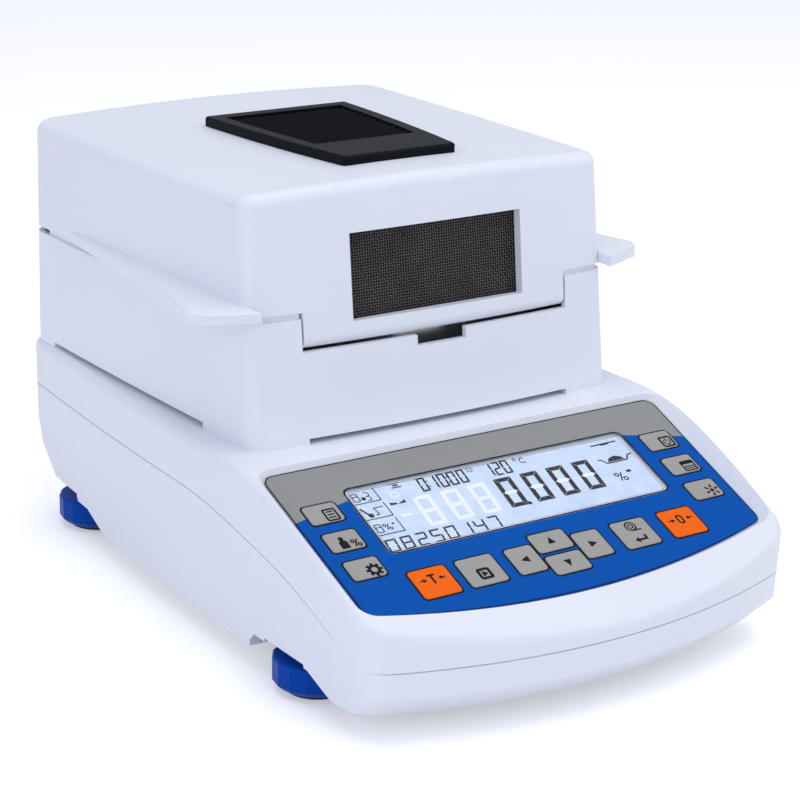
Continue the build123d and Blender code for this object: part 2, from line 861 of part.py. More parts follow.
with BuildPart() as hinge_pins:
    for side in (-1, 1):
        with BuildSketch(Plane.YZ.offset(side * hinge_x - hinge_width / 2 - knuckle_width)):
            with Locations((hinge_y, hinge_z)):
                Circle(hinge_pin_radius - 0.05)
        extrude(amount=hinge_width + 2 * knuckle_width)
save(hinge_pins, "hinge_pins")


def ear_plan():
    """The left handle ear: it widens towards the front and is cut back at its tip."""
    root = box_half_front - 3
    with BuildSketch() as plan:
        with BuildLine():
            Line((-root, ear_rear), (-box_half_rear + 0.6, ear_rear))
            Spline(
                (-box_half_rear + 0.6, ear_rear),
                (-box_half_rear - 3.0, ear_rear - 35.0),
                (-ear_tip + 10.0, ear_front + 62.0),
                (-ear_tip, ear_front + 8),
            )
            Line((-ear_tip, ear_front + 8), (-ear_tip + 4, ear_front))
            Line((-ear_tip + 4, ear_front), (-root, ear_front - 9))
            Line((-root, ear_front - 9), (-root, ear_rear))
        make_face()
        tips = plan.vertices().group_by(Axis.X)[0] + plan.vertices().filter_by(
            lambda v: abs(v.X + ear_tip - 4) < 0.01)
        fillet(tips, ear_corner)
    return plan.sketch


def grille_plan(inset):
    """The vent grille's plan: narrower at the front, with bowed sides."""
    with BuildSketch() as plan:
        with BuildLine():
            middle = (grille_half_front + grille_half_rear) / 2 + grille_side_bow
            Line((-grille_half_front, grille_front), (grille_half_front, grille_front))
            ThreePointArc(
                (grille_half_front, grille_front),
                (middle, (grille_front + grille_rear) / 2),
                (grille_half_rear, grille_rear),
            )
            Line((grille_half_rear, grille_rear), (-grille_half_rear, grille_rear))
            ThreePointArc(
                (-grille_half_rear, grille_rear),
                (-middle, (grille_front + grille_rear) / 2),
                (-grille_half_front, grille_front),
            )
        make_face()
        fillet(plan.vertices(), 1.5)
        if inset:
            offset(amount=-inset)
    return plan.sketch


window_plane = Plane(
    origin=(0, front_face_y(window_bottom), window_bottom),
    x_dir=(1, 0, 0),
    z_dir=Vector(0, -1, box_front_lean).normalized(),
)
window_height = window_top - window_bottom
frame_back = box_wall + window_frame_depth


def window_cut(margin, start, depth):
    """A block through the window, from a depth behind the front face."""
    with BuildPart() as cut:
        with BuildSketch(window_plane.offset(-start)):
            with Locations((0, window_height / 2)):
                Rectangle(2 * (window_half + margin), window_height + 2 * margin)
        extrude(amount=-depth)
    return cut.part


with BuildPart() as lid_shell:
    add(box_form(lid_bottom, lid_top, 0))
    add(under_crown(0), mode=Mode.INTERSECT)
    fillet(lid_shell.faces().sort_by(Axis.Z)[-1].edges(), lid_edge_radius)
    with BuildPart(mode=Mode.PRIVATE) as tab:
        add(box_form(tab_bottom, lid_bottom, 0))
        add(block(-tab_half, tab_half, -60, -20, tab_bottom, lid_bottom), mode=Mode.INTERSECT)
        fillet(tab.edges().filter_by(Axis.Y, 8).sort_by(Axis.Z)[:2], tab_corner)
    add(tab.part)
    with BuildPart(mode=Mode.PRIVATE) as lid_cavity:
        add(box_form(tab_bottom - 2, lid_top, box_wall))
        add(under_crown(box_wall), mode=Mode.INTERSECT)
    add(lid_cavity.part, mode=Mode.SUBTRACT)
    with BuildPart(mode=Mode.PRIVATE) as frame:
        add(window_cut(window_frame, 1.0, frame_back - 1.0))
        add(box_form(tab_bottom, lid_top - 4, 1.0), mode=Mode.INTERSECT)
    add(frame.part)
    add(window_cut(0, -5, 30), mode=Mode.SUBTRACT)
    with BuildPart(mode=Mode.PRIVATE) as ears:
        with BuildSketch(Plane.XY.offset(lid_bottom)):
            add(ear_plan())
            mirror(about=Plane.YZ)
        extrude(amount=ear_thickness)
        fillet(ears.faces().sort_by(Axis.Z)[-1].edges(), ear_edge)
        add(box_form(lid_bottom, lid_top, box_wall * 0.6), mode=Mode.SUBTRACT)
    add(ears.part)
    for side in (-1, 1):
        x = side * hinge_x
        knuckle_half = hinge_width / 2 + knuckle_width
        add(block(x - knuckle_half, x + knuckle_half, hinge_y - 3.5, box_rear - 1, lid_bottom, lid_bottom + 9))
        add(block(x - eye_half, x + eye_half, hinge_y - 13, hinge_y + 17, lid_bottom - 1, hinge_z + 4.5), mode=Mode.SUBTRACT)
        with BuildSketch(Plane.YZ.offset(x - knuckle_half)):
            with Locations((hinge_y, hinge_z)):
                Circle(hinge_pin_radius)
        extrude(amount=2 * knuckle_half, mode=Mode.SUBTRACT)
    vent_half = grille_half_front - grille_frame
    add(
        block(-vent_half, vent_half, grille_slats_front, grille_slats_rear, lid_top - 10, lid_top + 1),
        mode=Mode.SUBTRACT,
    )
    with BuildSketch(Plane.XY.offset(lid_top - grille_sink)):
        add(grille_plan(0))
    extrude(amount=2 * grille_sink, mode=Mode.SUBTRACT)
save(lid_shell, "lid_shell")

with BuildPart() as window_mesh:
    add(window_cut(window_frame - 1.0, frame_back, mesh_thickness))
save(window_mesh, "window_mesh")

with BuildPart() as window_glass:
    add(window_cut(window_frame - 2.0, frame_back + mesh_thickness, glass_thickness))
save(window_glass, "window_glass")


grille_seat = lid_top - grille_sink
grille_height = grille_thickness + grille_sink
slat_pitch = (grille_slats_rear - grille_slats_front) / slat_count
with BuildPart() as top_grille:
    with BuildSketch(Plane.XY.offset(grille_seat)):
        add(grille_plan(0))
    extrude(amount=grille_height)
    chamfer(top_grille.faces().sort_by(Axis.Z)[-1].edges(), 0.8)
    with BuildPart(mode=Mode.PRIVATE) as louvre_field:
        with BuildSketch(Plane.XY.offset(grille_seat)):
            add(grille_plan(grille_frame))
        extrude(amount=grille_height)
        add(
            block(
                -grille_half_rear, grille_half_rear, grille_slats_front, grille_slats_rear,
                grille_seat, grille_seat + grille_height,
            ),
            mode=Mode.INTERSECT,
        )
    add(louvre_field.part, mode=Mode.SUBTRACT)
    with BuildPart(mode=Mode.PRIVATE) as slats:
        with BuildSketch(Plane.YZ.offset(-grille_half_rear)):
            first = grille_slats_front + slat_pitch / 2
            spots = [(first + i * slat_pitch, grille_seat + grille_height / 2) for i in range(slat_count)]
            with Locations(*spots):
                Rectangle(grille_height * 1.15, slat_thickness, rotation=slat_tilt)
        extrude(amount=2 * grille_half_rear)
        add(louvre_field.part, mode=Mode.INTERSECT)
    add(slats.part)
save(top_grille, "top_grille")

liner_bottom = lid_bottom + 1.0
liner_post_top = crown_height(liner_post_x + liner_post_radius) - box_wall
liner_front = frame_back + mesh_thickness + glass_thickness + 1.0
with BuildPart() as lid_liner:
    with BuildSketch(Plane.XY.offset(liner_bottom)):
        add(box_plan(liner_top, liner_inset))
        with Locations((0, liner_rear + 50)):
            Rectangle(300, 100, mode=Mode.SUBTRACT)
        with Locations((0, box_front - 50 + (lid_top - base_top) * box_front_lean + liner_front)):
            Rectangle(300, 100, mode=Mode.SUBTRACT)
    extrude(amount=liner_top - liner_bottom)
    offset(amount=-liner_sheet, openings=lid_liner.faces().sort_by(Axis.Z)[0])
    window_gap = block(-window_half, window_half, -40, 0, window_bottom + 8, window_top)
    add(window_gap, mode=Mode.SUBTRACT)
    vent = block(
        -vent_half + 3, vent_half - 3, grille_slats_front + 9, grille_slats_rear - 8, liner_top - 5, liner_top + 5
    )
    add(vent, mode=Mode.SUBTRACT)
    for x in (-liner_post_x, liner_post_x):
        with Locations(*[(x, y, liner_top) for y in (box_front + 37.4, box_rear - 36.6)]):
            Cylinder(liner_post_radius, liner_post_top - liner_top, align=(Align.CENTER, Align.CENTER, Align.MIN))
save(lid_liner, "lid_liner")

lamp_ys = (pan_y - lamp_spacing / 2, pan_y + lamp_spacing / 2)
with BuildPart() as heater_lamps:
    for y in lamp_ys:
        with BuildSketch(Plane.YZ.offset(-lamp_length / 2)):
            with Locations((y, lamp_z)):
                Circle(lamp_radius)
        extrude(amount=lamp_length)
    fillet(heater_lamps.edges(), lamp_radius * 0.5)
save(heater_lamps, "heater_lamps")

with BuildPart() as heater_sockets:
    for y in lamp_ys:
        for side in (-1, 1):
            end = side * lamp_length / 2
            inner, outer = end - side * socket_length * 0.4, end + side * socket_length * 0.6
            low, high = min(inner, outer), max(inner, outer)
            add(block(low, high, y - 9, y + 9, lamp_z - 9, liner_top - liner_sheet))
    for y in lamp_ys:
        with BuildSketch(Plane.YZ.offset(-lamp_length / 2)):
            with Locations((y, lamp_z)):
                Circle(lamp_radius)
        extrude(amount=lamp_length, mode=Mode.SUBTRACT)
save(heater_sockets, "heater_sockets")

reflector_half = lamp_length / 2 - socket_length * 0.4 - 1.0
with BuildPart() as reflector:
    with BuildSketch(Plane.YZ.offset(-reflector_half)):
        for y in lamp_ys:
            with BuildLine():
                Polyline(
                    (y - 20, lamp_z - 4),
                    (y - 10, liner_top - liner_sheet - 1),
                    (y + 10, liner_top - liner_sheet - 1),
                    (y + 20, lamp_z - 4),
                    (y + 21, lamp_z - 4),
                    (y + 10.6, liner_top - liner_sheet),
                    (y - 10.6, liner_top - liner_sheet),
                    (y - 21, lamp_z - 4),
                    close=True,
                )
            make_face()
    extrude(amount=2 * reflector_half)
save(reflector, "reflector")

with BuildPart() as heater_guard:
    with BuildSketch(Plane.XY.offset(guard_z)):
        with Locations((0, (guard_front + guard_rear) / 2)):
            RectangleRounded(2 * guard_half, guard_rear - guard_front, 6)
            RectangleRounded(2 * guard_half - 6, guard_rear - guard_front - 6, 4, mode=Mode.SUBTRACT)
            with GridLocations((2 * guard_half - 6) / (guard_count + 1), 1, guard_count, 1):
                Rectangle(guard_wire, guard_rear - guard_front - 4)
            with GridLocations(1, (guard_rear - guard_front - 6) / (guard_count - 1), 1, guard_count - 2):
                Rectangle(2 * guard_half - 4, guard_wire)
    extrude(amount=guard_wire)
    posts = [(x, y, guard_z + guard_wire / 2) for x in (-guard_half + 2, guard_half - 2)
             for y in (guard_front + 8, guard_rear - 8)]
    with Locations(*posts):
        Cylinder(
            1.5, liner_top - liner_sheet - guard_z - guard_wire / 2,
            align=(Align.CENTER, Align.CENTER, Align.MIN),
        )
save(heater_guard, "heater_guard")

with BuildPart() as temperature_sensor:
    with BuildSketch(Plane.XZ.offset(-(tray_rear - tray_sheet))):
        with Locations((sensor_x, sensor_z)):
            Circle(sensor_radius)
    extrude(amount=sensor_length)
    with BuildSketch(Plane.XZ.offset(-(tray_rear - tray_sheet))):
        with Locations((sensor_x, sensor_z)):
            Circle(4)
    extrude(amount=2.5)
save(temperature_sensor, "temperature_sensor")

with BuildPart() as foot_inserts:
    for name, spot in foot_spots.items():
        with BuildSketch(Plane.XY.offset(pocket_top[name] + 1)):
            with Locations(spot):
                Circle(insert_radius)
                Circle(stem_radius, mode=Mode.SUBTRACT)
        extrude(amount=insert_length)
save(foot_inserts, "foot_inserts")

for name, spot in foot_spots.items():
    with BuildPart() as foot_pad:
        with BuildSketch():
            with Locations(spot):
                Circle(pad_radius)
        extrude(amount=pad_height)
        fillet(foot_pad.faces().sort_by(Axis.Z)[0].edges(), 1.0)
    save(foot_pad, f"foot_pad_{name}")

    with BuildPart() as foot_wheel:
        with BuildSketch(Plane.XY.offset(wheel_bottom)):
            with Locations(spot):
                RegularPolygon(foot_radius, foot_lobes)
        extrude(amount=wheel_top - wheel_bottom)
        chamfer(foot_wheel.faces().sort_by(Axis.Z)[0].edges(), 2.0)
        chamfer(foot_wheel.faces().sort_by(Axis.Z)[-1].edges(), 0.8)
        with BuildSketch():
            with Locations(spot):
                Circle(pad_radius + 0.2)
        extrude(amount=pad_height, mode=Mode.SUBTRACT)
        with BuildSketch(Plane.XY.offset(wheel_top)):
            with Locations(spot):
                Circle(stem_radius - 0.1)
        extrude(amount=boss_top[name] - 3 - wheel_top)
    save(foot_wheel, f"foot_wheel_{name}")

panel_rear = base_rear_y - base_wall
panel_front = panel_rear - panel_sheet
inlet_z = (panel_bottom + panel_top) / 2
with BuildPart() as rear_panel:
    add(block(
        -panel_half - panel_lap, panel_half + panel_lap, panel_front, panel_rear,
        panel_bottom - panel_lap, panel_top + panel_lap,
    ))
    with BuildSketch(Plane.XZ.offset(-panel_rear)):
        with Locations((inlet_x, inlet_z)):
            Rectangle(*inlet_size)
        with Locations(*[(x, inlet_z) for x in serial_x]):
            Rectangle(serial_body[0], serial_body[1])
        with Locations(*[(x, inlet_z) for x in usb_x]):
            Rectangle(*usb_size)
    extrude(amount=panel_sheet, mode=Mode.SUBTRACT)
save(rear_panel, "rear_panel")

with BuildPart() as power_inlet:
    half_w, half_h = inlet_size[0] / 2, inlet_size[1] / 2
    add(block(
        inlet_x - half_w, inlet_x + half_w, panel_rear - inlet_depth, panel_rear,
        inlet_z - half_h, inlet_z + half_h,
    ))
    add(block(
        inlet_x - half_w - inlet_flange, inlet_x + half_w + inlet_flange, panel_rear, panel_rear + 1.0,
        inlet_z - half_h - inlet_flange, inlet_z + half_h + inlet_flange,
    ))
    with BuildSketch(Plane.XZ.offset(-panel_rear - 1.0)):
        with Locations((inlet_x, inlet_z)):
            RectangleRounded(inlet_size[0] - 5, inlet_size[1] - 4, 3)
    extrude(amount=inlet_depth - 2, mode=Mode.SUBTRACT)
    with BuildSketch(Plane.XZ.offset(-panel_rear + inlet_depth - 2)):
        with Locations((inlet_x - 7, inlet_z - 1.5), (inlet_x, inlet_z + 2.5), (inlet_x + 7, inlet_z - 1.5)):
            Rectangle(*pin_size)
    extrude(amount=-(inlet_depth - 5))
save(power_inlet, "power_inlet")

with BuildPart() as serial_ports:
    body_w, body_h, body_depth = serial_body
    for x in serial_x:
        add(block(
            x - body_w / 2, x + body_w / 2, panel_rear - body_depth, panel_rear,
            inlet_z - body_h / 2, inlet_z + body_h / 2,
        ))
        add(block(
            x - serial_flange[0] / 2, x + serial_flange[0] / 2, panel_rear, panel_rear + 0.8,
            inlet_z - serial_flange[1] / 2, inlet_z + serial_flange[1] / 2,
        ))
        with BuildSketch(Plane.XZ.offset(-panel_rear - 0.8)):
            with Locations((x, inlet_z)):
                Trapezoid(body_w - 1.5, body_h - 1.2, 80, rotation=180)
        extrude(amount=body_depth - 3, mode=Mode.SUBTRACT)
save(serial_ports, "serial_ports")

with BuildPart() as usb_ports:
    half_w, half_h = usb_size[0] / 2, usb_size[1] / 2
    for x in usb_x:
        add(block(x - half_w, x + half_w, panel_rear - usb_depth, panel_rear + 0.6, inlet_z - half_h, inlet_z + half_h))
        add(
            block(
                x - half_w + usb_wall, x + half_w - usb_wall, panel_rear - usb_depth + 5, panel_rear + 1,
                inlet_z - half_h + usb_wall, inlet_z + half_h - usb_wall,
            ),
            mode=Mode.SUBTRACT,
        )
        add(block(x - 1.8, x, panel_rear - usb_depth + 5, panel_rear - 1, inlet_z - 5.5, inlet_z + 5.5))
save(usb_ports, "usb_ports")

with BuildPart() as cover_screws:
    add(cover_screw_set())
save(cover_screws, "cover_screws")
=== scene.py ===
"""Looks of a bench moisture analyzer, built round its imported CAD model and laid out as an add-on."""
import math

import bmesh
import bpy
from mathutils import Matrix, Vector


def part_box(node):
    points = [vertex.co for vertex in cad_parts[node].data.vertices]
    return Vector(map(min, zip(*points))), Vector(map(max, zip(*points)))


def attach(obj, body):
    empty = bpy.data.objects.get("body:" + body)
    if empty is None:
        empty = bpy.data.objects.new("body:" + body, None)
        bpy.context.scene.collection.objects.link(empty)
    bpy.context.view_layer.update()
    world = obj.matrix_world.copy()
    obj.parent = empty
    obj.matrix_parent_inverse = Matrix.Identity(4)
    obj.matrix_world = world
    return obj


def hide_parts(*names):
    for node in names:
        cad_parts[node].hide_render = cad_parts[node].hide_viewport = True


bl_info = {
    "name": "Moisture Analyzer Looks",
    "version": (1, 0, 0),
    "blender": (4, 5, 0),
    "location": "View3D > Sidebar > Analyzer",
    "description": "Finishes, prints and studio for a bench moisture analyzer",
    "category": "Object",
}

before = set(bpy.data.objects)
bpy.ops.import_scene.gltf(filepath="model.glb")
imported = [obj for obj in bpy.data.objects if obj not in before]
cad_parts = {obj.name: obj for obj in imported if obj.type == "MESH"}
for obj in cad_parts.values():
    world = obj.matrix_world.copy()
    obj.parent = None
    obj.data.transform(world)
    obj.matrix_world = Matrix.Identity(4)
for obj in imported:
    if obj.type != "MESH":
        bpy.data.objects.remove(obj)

MM = 0.001
KEY_NAMES = sorted(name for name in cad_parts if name.startswith("key_"))
WHEEL_NAMES = sorted(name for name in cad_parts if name.startswith("foot_wheel_"))
PAD_NAMES = sorted(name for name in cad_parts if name.startswith("foot_pad_"))

# The keypad's plane: the middle of the overlay's rear edge, and its slope towards the user
KEYPAD_ORIGIN = (0.0, -55.4 * MM, 80.6 * MM)
KEYPAD_TILT = math.radians(22.2)
KEYPAD = Matrix.Translation(KEYPAD_ORIGIN) @ Matrix.Rotation(KEYPAD_TILT, 4, "X")

# The lid's front leans back by this angle, and the window with it
FRONT_LEAN = math.atan(0.105)

# Heights over the keypad's plane, in mm: prints lie a hair over the film and the border over its
# window, and the figures lie on the display's face
PRINT_LIFT = 0.02
BORDER_LIFT = 0.03
FIGURE_LEVEL = -0.87

# The overlay's outline, in mm: half its width at the rear and at the front, how far its sides and the
# middle of its bowed front reach, and the radius of its corners
OVERLAY_REAR_HALF = 96.4
OVERLAY_FRONT_HALF = 95.5
OVERLAY_SIDE = 80.7
OVERLAY_APEX = 94.0
OVERLAY_CORNER = 5.0

# The grey strip's lower edge, in mm from the overlay's rear edge: level in the middle, and at each
# side a line given as its slope and its depth at the middle of the keypad
STRIP_DEPTH = 15.6
STRIP_LEFT = (-0.2236, 6.2)
STRIP_RIGHT = (0.299, -2.57)

# The large digits: the left end of the first, their base line and their width, in mm
DIGIT_LEFT = -43.5
DIGIT_BASE = -43.6
DIGIT_WIDTH = 8.4

# The weave: how far it stays short of its frame, in mm, its points in one pitch and the sides of a wire
WEAVE_GAP = 0.2
WEAVE_POINTS = 3.0
WIRE_SIDES = 5

# Strength of what glows: the display, the warm lamps, the floor and the light from all round
DISPLAY_GLOW = 0.05
LAMP_GLOW = 0.35
FLOOR_GLOW = 0.35
WORLD_LIGHT = 0.62


def colour_property(name, description, value):
    """A colour that a user may change, given as an sRGB hex value."""
    return bpy.props.StringProperty(name=name, description=description, default=value)


def length_property(name, description, value):
    """A size that a user may change, in millimetres."""
    return bpy.props.FloatProperty(name=name, description=description, default=value, min=0.01)


class CasingSettings(bpy.types.PropertyGroup):
    white: colour_property("Casing", "Colour of the moulded ABS casing", "#EAEEF5")
    grain: length_property("Grain", "Size of the spark-eroded texture, mm", 0.9)
    roughness: bpy.props.FloatProperty(
        name="Roughness", description="Satin of the casing", default=0.42)


class KeypadSettings(bpy.types.PropertyGroup):
    field: colour_property("Field", "Colour of the overlay's printed field", "#0053AB")
    strip: colour_property("Strip", "Colour of the strip behind the display", "#949491")
    key: colour_property("Keys", "Colour of the plain keys", "#A3A19C")
    zero_key: colour_property("Zero keys", "Colour of the tare and zero keys", "#F8690F")
    line: colour_property("Lines", "Colour of outlines and marks", "#0B0F18")
    outline: length_property("Outline", "Width of the dark line round each key, mm", 0.8)
    mark_scale: bpy.props.FloatProperty(
        name="Marks", description="Scale of the printed marks", default=1.22)


class DisplaySettings(bpy.types.PropertyGroup):
    ground: colour_property("Ground", "Colour of the lit display", "#C4D7F0")
    pale: colour_property("Unlit", "Colour of the segments that are off", "#F6F9FE")
    digit_height: length_property("Digit height", "Height of the large digits, mm", 17.2)
    digit_pitch: length_property("Digit pitch", "From one large digit to the next, mm", 13.0)


class WindowSettings(bpy.types.PropertyGroup):
    pitch: length_property("Pitch", "From one wire to the next, mm", 1.2)
    wire: length_property("Wire", "Thickness of the wire, mm", 0.34)
    metal: colour_property("Metal", "Colour of the mesh", "#7C7472")


class GrilleSettings(bpy.types.PropertyGroup):
    black: colour_property("Grille", "Colour of the vent grille", "#15161D")


class FootSettings(bpy.types.PropertyGroup):
    blue: colour_property("Wheels", "Colour of the levelling wheels", "#0145A8")


class StageSettings(bpy.types.PropertyGroup):
    floor: colour_property("Floor", "Colour of the floor", "#F4F4F6")
    eye: bpy.props.FloatVectorProperty(
        name="Camera", description="Where the camera stands",
        default=(-0.5243, -0.7897, 0.3897), subtype="XYZ")
    azimuth: bpy.props.FloatProperty(
        name="Azimuth", description="Camera's turn about the object, degrees", default=-33.836)
    elevation: bpy.props.FloatProperty(
        name="Elevation", description="Camera's angle above level, degrees", default=18.056)
    roll: bpy.props.FloatProperty(name="Roll", description="Camera's roll, degrees", default=0.892)
    lens: bpy.props.FloatProperty(
        name="Lens", description="Focal length on a 36 mm sensor", default=105.39)


GROUPS = {
    "analyzer_casing": CasingSettings,
    "analyzer_keypad": KeypadSettings,
    "analyzer_display": DisplaySettings,
    "analyzer_window": WindowSettings,
    "analyzer_grille": GrilleSettings,
    "analyzer_feet": FootSettings,
    "analyzer_stage": StageSettings,
}


def linear(hex_value):
    """An sRGB hex value as a linear colour with alpha."""
    parts = [int(hex_value[i:i + 2], 16) / 255 for i in (1, 3, 5)]
    return tuple(c / 12.92 if c <= 0.04045 else ((c + 0.055) / 1.055) ** 2.4 for c in parts) + (1.0,)


def add_node(tree, kind, inputs=None, **settings):
    """Adds one node. An input given as a socket is linked, and any other is its value."""
    node = tree.nodes.new(kind)
    for name, value in settings.items():
        setattr(node, name, value)
    for key, value in (inputs or {}).items():
        if isinstance(value, bpy.types.NodeSocket):
            tree.links.new(value, node.inputs[key])
        else:
            node.inputs[key].default_value = value
    return node


def new_material(name, **sockets):
    """A material with one Principled shader whose sockets are set by name."""
    material = bpy.data.materials.new(name)
    material.use_nodes = True
    tree = material.node_tree
    shader = tree.nodes["Principled BSDF"]
    for key, value in sockets.items():
        shader.inputs[key.replace("_", " ")].default_value = value
    return material, tree, shader


def grain_bump(tree, shader, size_mm, depth_mm, strength, stretch=(1, 1, 1)):
    """Fine relief from noise of a real size, stretched for brushed or drawn surfaces."""
    place = add_node(tree, "ShaderNodeTexCoord")
    turned = add_node(tree, "ShaderNodeMapping", {"Vector": place.outputs["Object"], "Scale": stretch})
    noise = add_node(tree, "ShaderNodeTexNoise", {
        "Vector": turned.outputs["Vector"], "Scale": 1 / (size_mm * MM), "Detail": 3.0, "Roughness": 0.55})
    bump = add_node(tree, "ShaderNodeBump", {
        "Height": noise.outputs["Fac"], "Strength": strength, "Distance": depth_mm * MM})
    tree.links.new(bump.outputs["Normal"], shader.inputs["Normal"])
    return noise


def vary(tree, shader, socket, noise_output, low, high):
    """A roughness or mix that follows the noise between two values."""
    spread = add_node(tree, "ShaderNodeMapRange", {
        "Value": noise_output, "From Min": 0.3, "From Max": 0.7, "To Min": low, "To Max": high})
    tree.links.new(spread.outputs["Result"], shader.inputs[socket])


def tint(tree, shader, colour, other, size_mm):
    """Slow drift between two near colours, as a large moulding shows."""
    place = add_node(tree, "ShaderNodeTexCoord")
    cloud = add_node(tree, "ShaderNodeTexNoise", {
        "Vector": place.outputs["Object"], "Scale": 1 / (size_mm * MM), "Detail": 2.0})
    mix = add_node(tree, "ShaderNodeMix", {
        "Factor": cloud.outputs["Fac"], "A": linear(colour), "B": linear(other)}, data_type="RGBA")
    tree.links.new(mix.outputs["Result"], shader.inputs["Base Color"])


def moulded_abs(name, colour, other, grain_mm, roughness, level=0.5):
    """Injection-moulded ABS: a fine spark-eroded grain that gives a soft, even satin."""
    material, tree, shader = new_material(
        name, IOR=1.53, Roughness=roughness, Specular_IOR_Level=level)
    noise = grain_bump(tree, shader, grain_mm, 0.02, 0.25)
    vary(tree, shader, "Roughness", noise.outputs["Fac"], roughness - 0.05, roughness + 0.06)
    tint(tree, shader, colour, other, 60)
    return material


def brushed_metal(name, colour, other, roughness, stretch):
    """Rolled or brushed sheet metal: long fine lines that drag the highlight out sideways."""
    material, tree, shader = new_material(name, Metallic=1.0, Roughness=roughness)
    noise = grain_bump(tree, shader, 0.6, 0.01, 0.3, stretch)
    vary(tree, shader, "Roughness", noise.outputs["Fac"], roughness - 0.06, roughness + 0.1)
    tint(tree, shader, colour, other, 12)
    return material


def dress(material, *names):
    """Gives CAD nodes one material."""
    for name in names:
        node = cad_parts[name]
        node.data.materials.clear()
        node.data.materials.append(material)


def flat_print(name, shapes, plane, height_mm, material, body):
    """One thin print: flat polygons in millimetres on a plane, at a height over it."""
    mesh = bpy.data.meshes.new(name)
    built = bmesh.new()
    for shape in shapes:
        area = sum(a[0] * b[1] - b[0] * a[1] for a, b in zip(shape, shape[1:] + shape[:1]))
        ordered = shape if area > 0 else shape[::-1]
        built.faces.new([built.verts.new((x * MM, y * MM, height_mm * MM)) for x, y in ordered])
    bmesh.ops.triangulate(built, faces=built.faces[:])
    built.to_mesh(mesh)
    built.free()
    mesh.transform(plane)
    mesh.materials.append(material)
    piece = bpy.data.objects.new(name, mesh)
    bpy.context.scene.collection.objects.link(piece)
    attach(piece, body)
    return piece


def bar(x0, y0, x1, y1, width):
    """A straight stroke between two points."""
    length = math.hypot(x1 - x0, y1 - y0)
    nx, ny = (y0 - y1) / length * width / 2, (x1 - x0) / length * width / 2
    return [(x0 + nx, y0 + ny), (x0 - nx, y0 - ny), (x1 - nx, y1 - ny), (x1 + nx, y1 + ny)]


def line(points, width):
    """Strokes along several points."""
    return [bar(*a, *b, width) for a, b in zip(points, points[1:])]


def round_loop(x, y, width, height, radius, steps=6):
    """A rounded rectangle's outline about a middle point."""
    points = []
    for corner, (sx, sy) in enumerate(((1, 1), (-1, 1), (-1, -1), (1, -1))):
        cx, cy = x + sx * (width / 2 - radius), y + sy * (height / 2 - radius)
        for step in range(steps + 1):
            angle = (corner + step / steps) * math.pi / 2
            points.append((cx + radius * math.cos(angle), cy + radius * math.sin(angle)))
    return points


def disc(x, y, radius, steps=24):
    """A filled circle."""
    return [(x + radius * math.cos(2 * math.pi * i / steps), y + radius * math.sin(2 * math.pi * i / steps))
            for i in range(steps)]


def ribbon(outer, inner):
    """The band between two loops of as many points."""
    count = len(outer)
    return [[outer[i], outer[(i + 1) % count], inner[(i + 1) % count], inner[i]] for i in range(count)]


def arc_band(x, y, radius, width, start, end, steps=20):
    """A part of a ring between two angles in degrees."""
    angles = [math.radians(start + (end - start) * i / steps) for i in range(steps + 1)]
    outer = [(x + (radius + width / 2) * math.cos(a), y + (radius + width / 2) * math.sin(a)) for a in angles]
    inner = [(x + (radius - width / 2) * math.cos(a), y + (radius - width / 2) * math.sin(a)) for a in angles]
    return [[outer[i], outer[i + 1], inner[i + 1], inner[i]] for i in range(steps)]


def frame_band(x, y, width, height, radius, line_width):
    """A rounded rectangular line."""
    half = line_width / 2
    outer = round_loop(x, y, width + line_width, height + line_width, radius + half)
    inner = round_loop(x, y, width - line_width, height - line_width, max(radius - half, 0.05))
    return ribbon(outer, inner)


SEGMENTS = {
    "0": "abcdef", "1": "bc", "2": "abged", "3": "abgcd", "4": "fgbc", "5": "afgcd",
    "6": "afgedc", "7": "abc", "8": "abcdefg", "9": "abfgcd", "-": "g",
}


def digit(character, x, y, width, height, stroke, slant=0.075):
    """One seven-segment figure whose lower left corner is at x, y."""
    half, gap, middle = stroke / 2, stroke * 0.05, height / 2
    flat = [(gap, 0), (width - gap, 0), (width - stroke - gap, stroke), (stroke + gap, stroke)]
    side = [(0, gap), (stroke, stroke + gap), (stroke, middle - half - gap), (half, middle - gap),
            (0, middle - gap)]
    near, far = stroke + gap, width - stroke - gap
    centre = [(half + gap, middle), (near, middle + half), (far, middle + half),
              (width - half - gap, middle), (far, middle - half), (near, middle - half)]

    def turned(points, across, over):
        return [(width - px if across else px, height - py if over else py) for px, py in points]

    shapes = {
        "a": turned(flat, False, True), "g": centre, "d": flat,
        "f": turned(side, False, True), "b": turned(side, True, True),
        "e": side, "c": turned(side, True, False),
    }
    return [[(x + px + py * slant, y + py) for px, py in shapes[key]] for key in SEGMENTS.get(character, "")]


def percent(x, y, size, stroke):
    """A percent sign about a middle point."""
    r = size * 0.17
    return (arc_band(x - size * 0.27, y + size * 0.27, r, stroke, 0, 360)
            + arc_band(x + size * 0.27, y - size * 0.27, r, stroke, 0, 360)
            + [bar(x - size * 0.22, y - size * 0.45, x + size * 0.22, y + size * 0.45, stroke)])


def mark_sheet():
    """A printed sheet with lines."""
    return frame_band(2.2, -1.2, 4.2, 5.0, 0.5, 0.7) + [bar(0.9, y, 3.5, y, 0.55) for y in (0.2, -1.1, -2.4)]


def mark_weight():
    """A laboratory weight and a percent sign."""
    body = [(-2.3, -3.6), (0.7, -3.6), (0.7, -0.6), (-0.1, 0.2), (-1.5, 0.2), (-2.3, -0.6)]
    return [body, disc(-0.8, 0.9, 0.9)] + percent(3.3, -2.0, 3.4, 0.55)


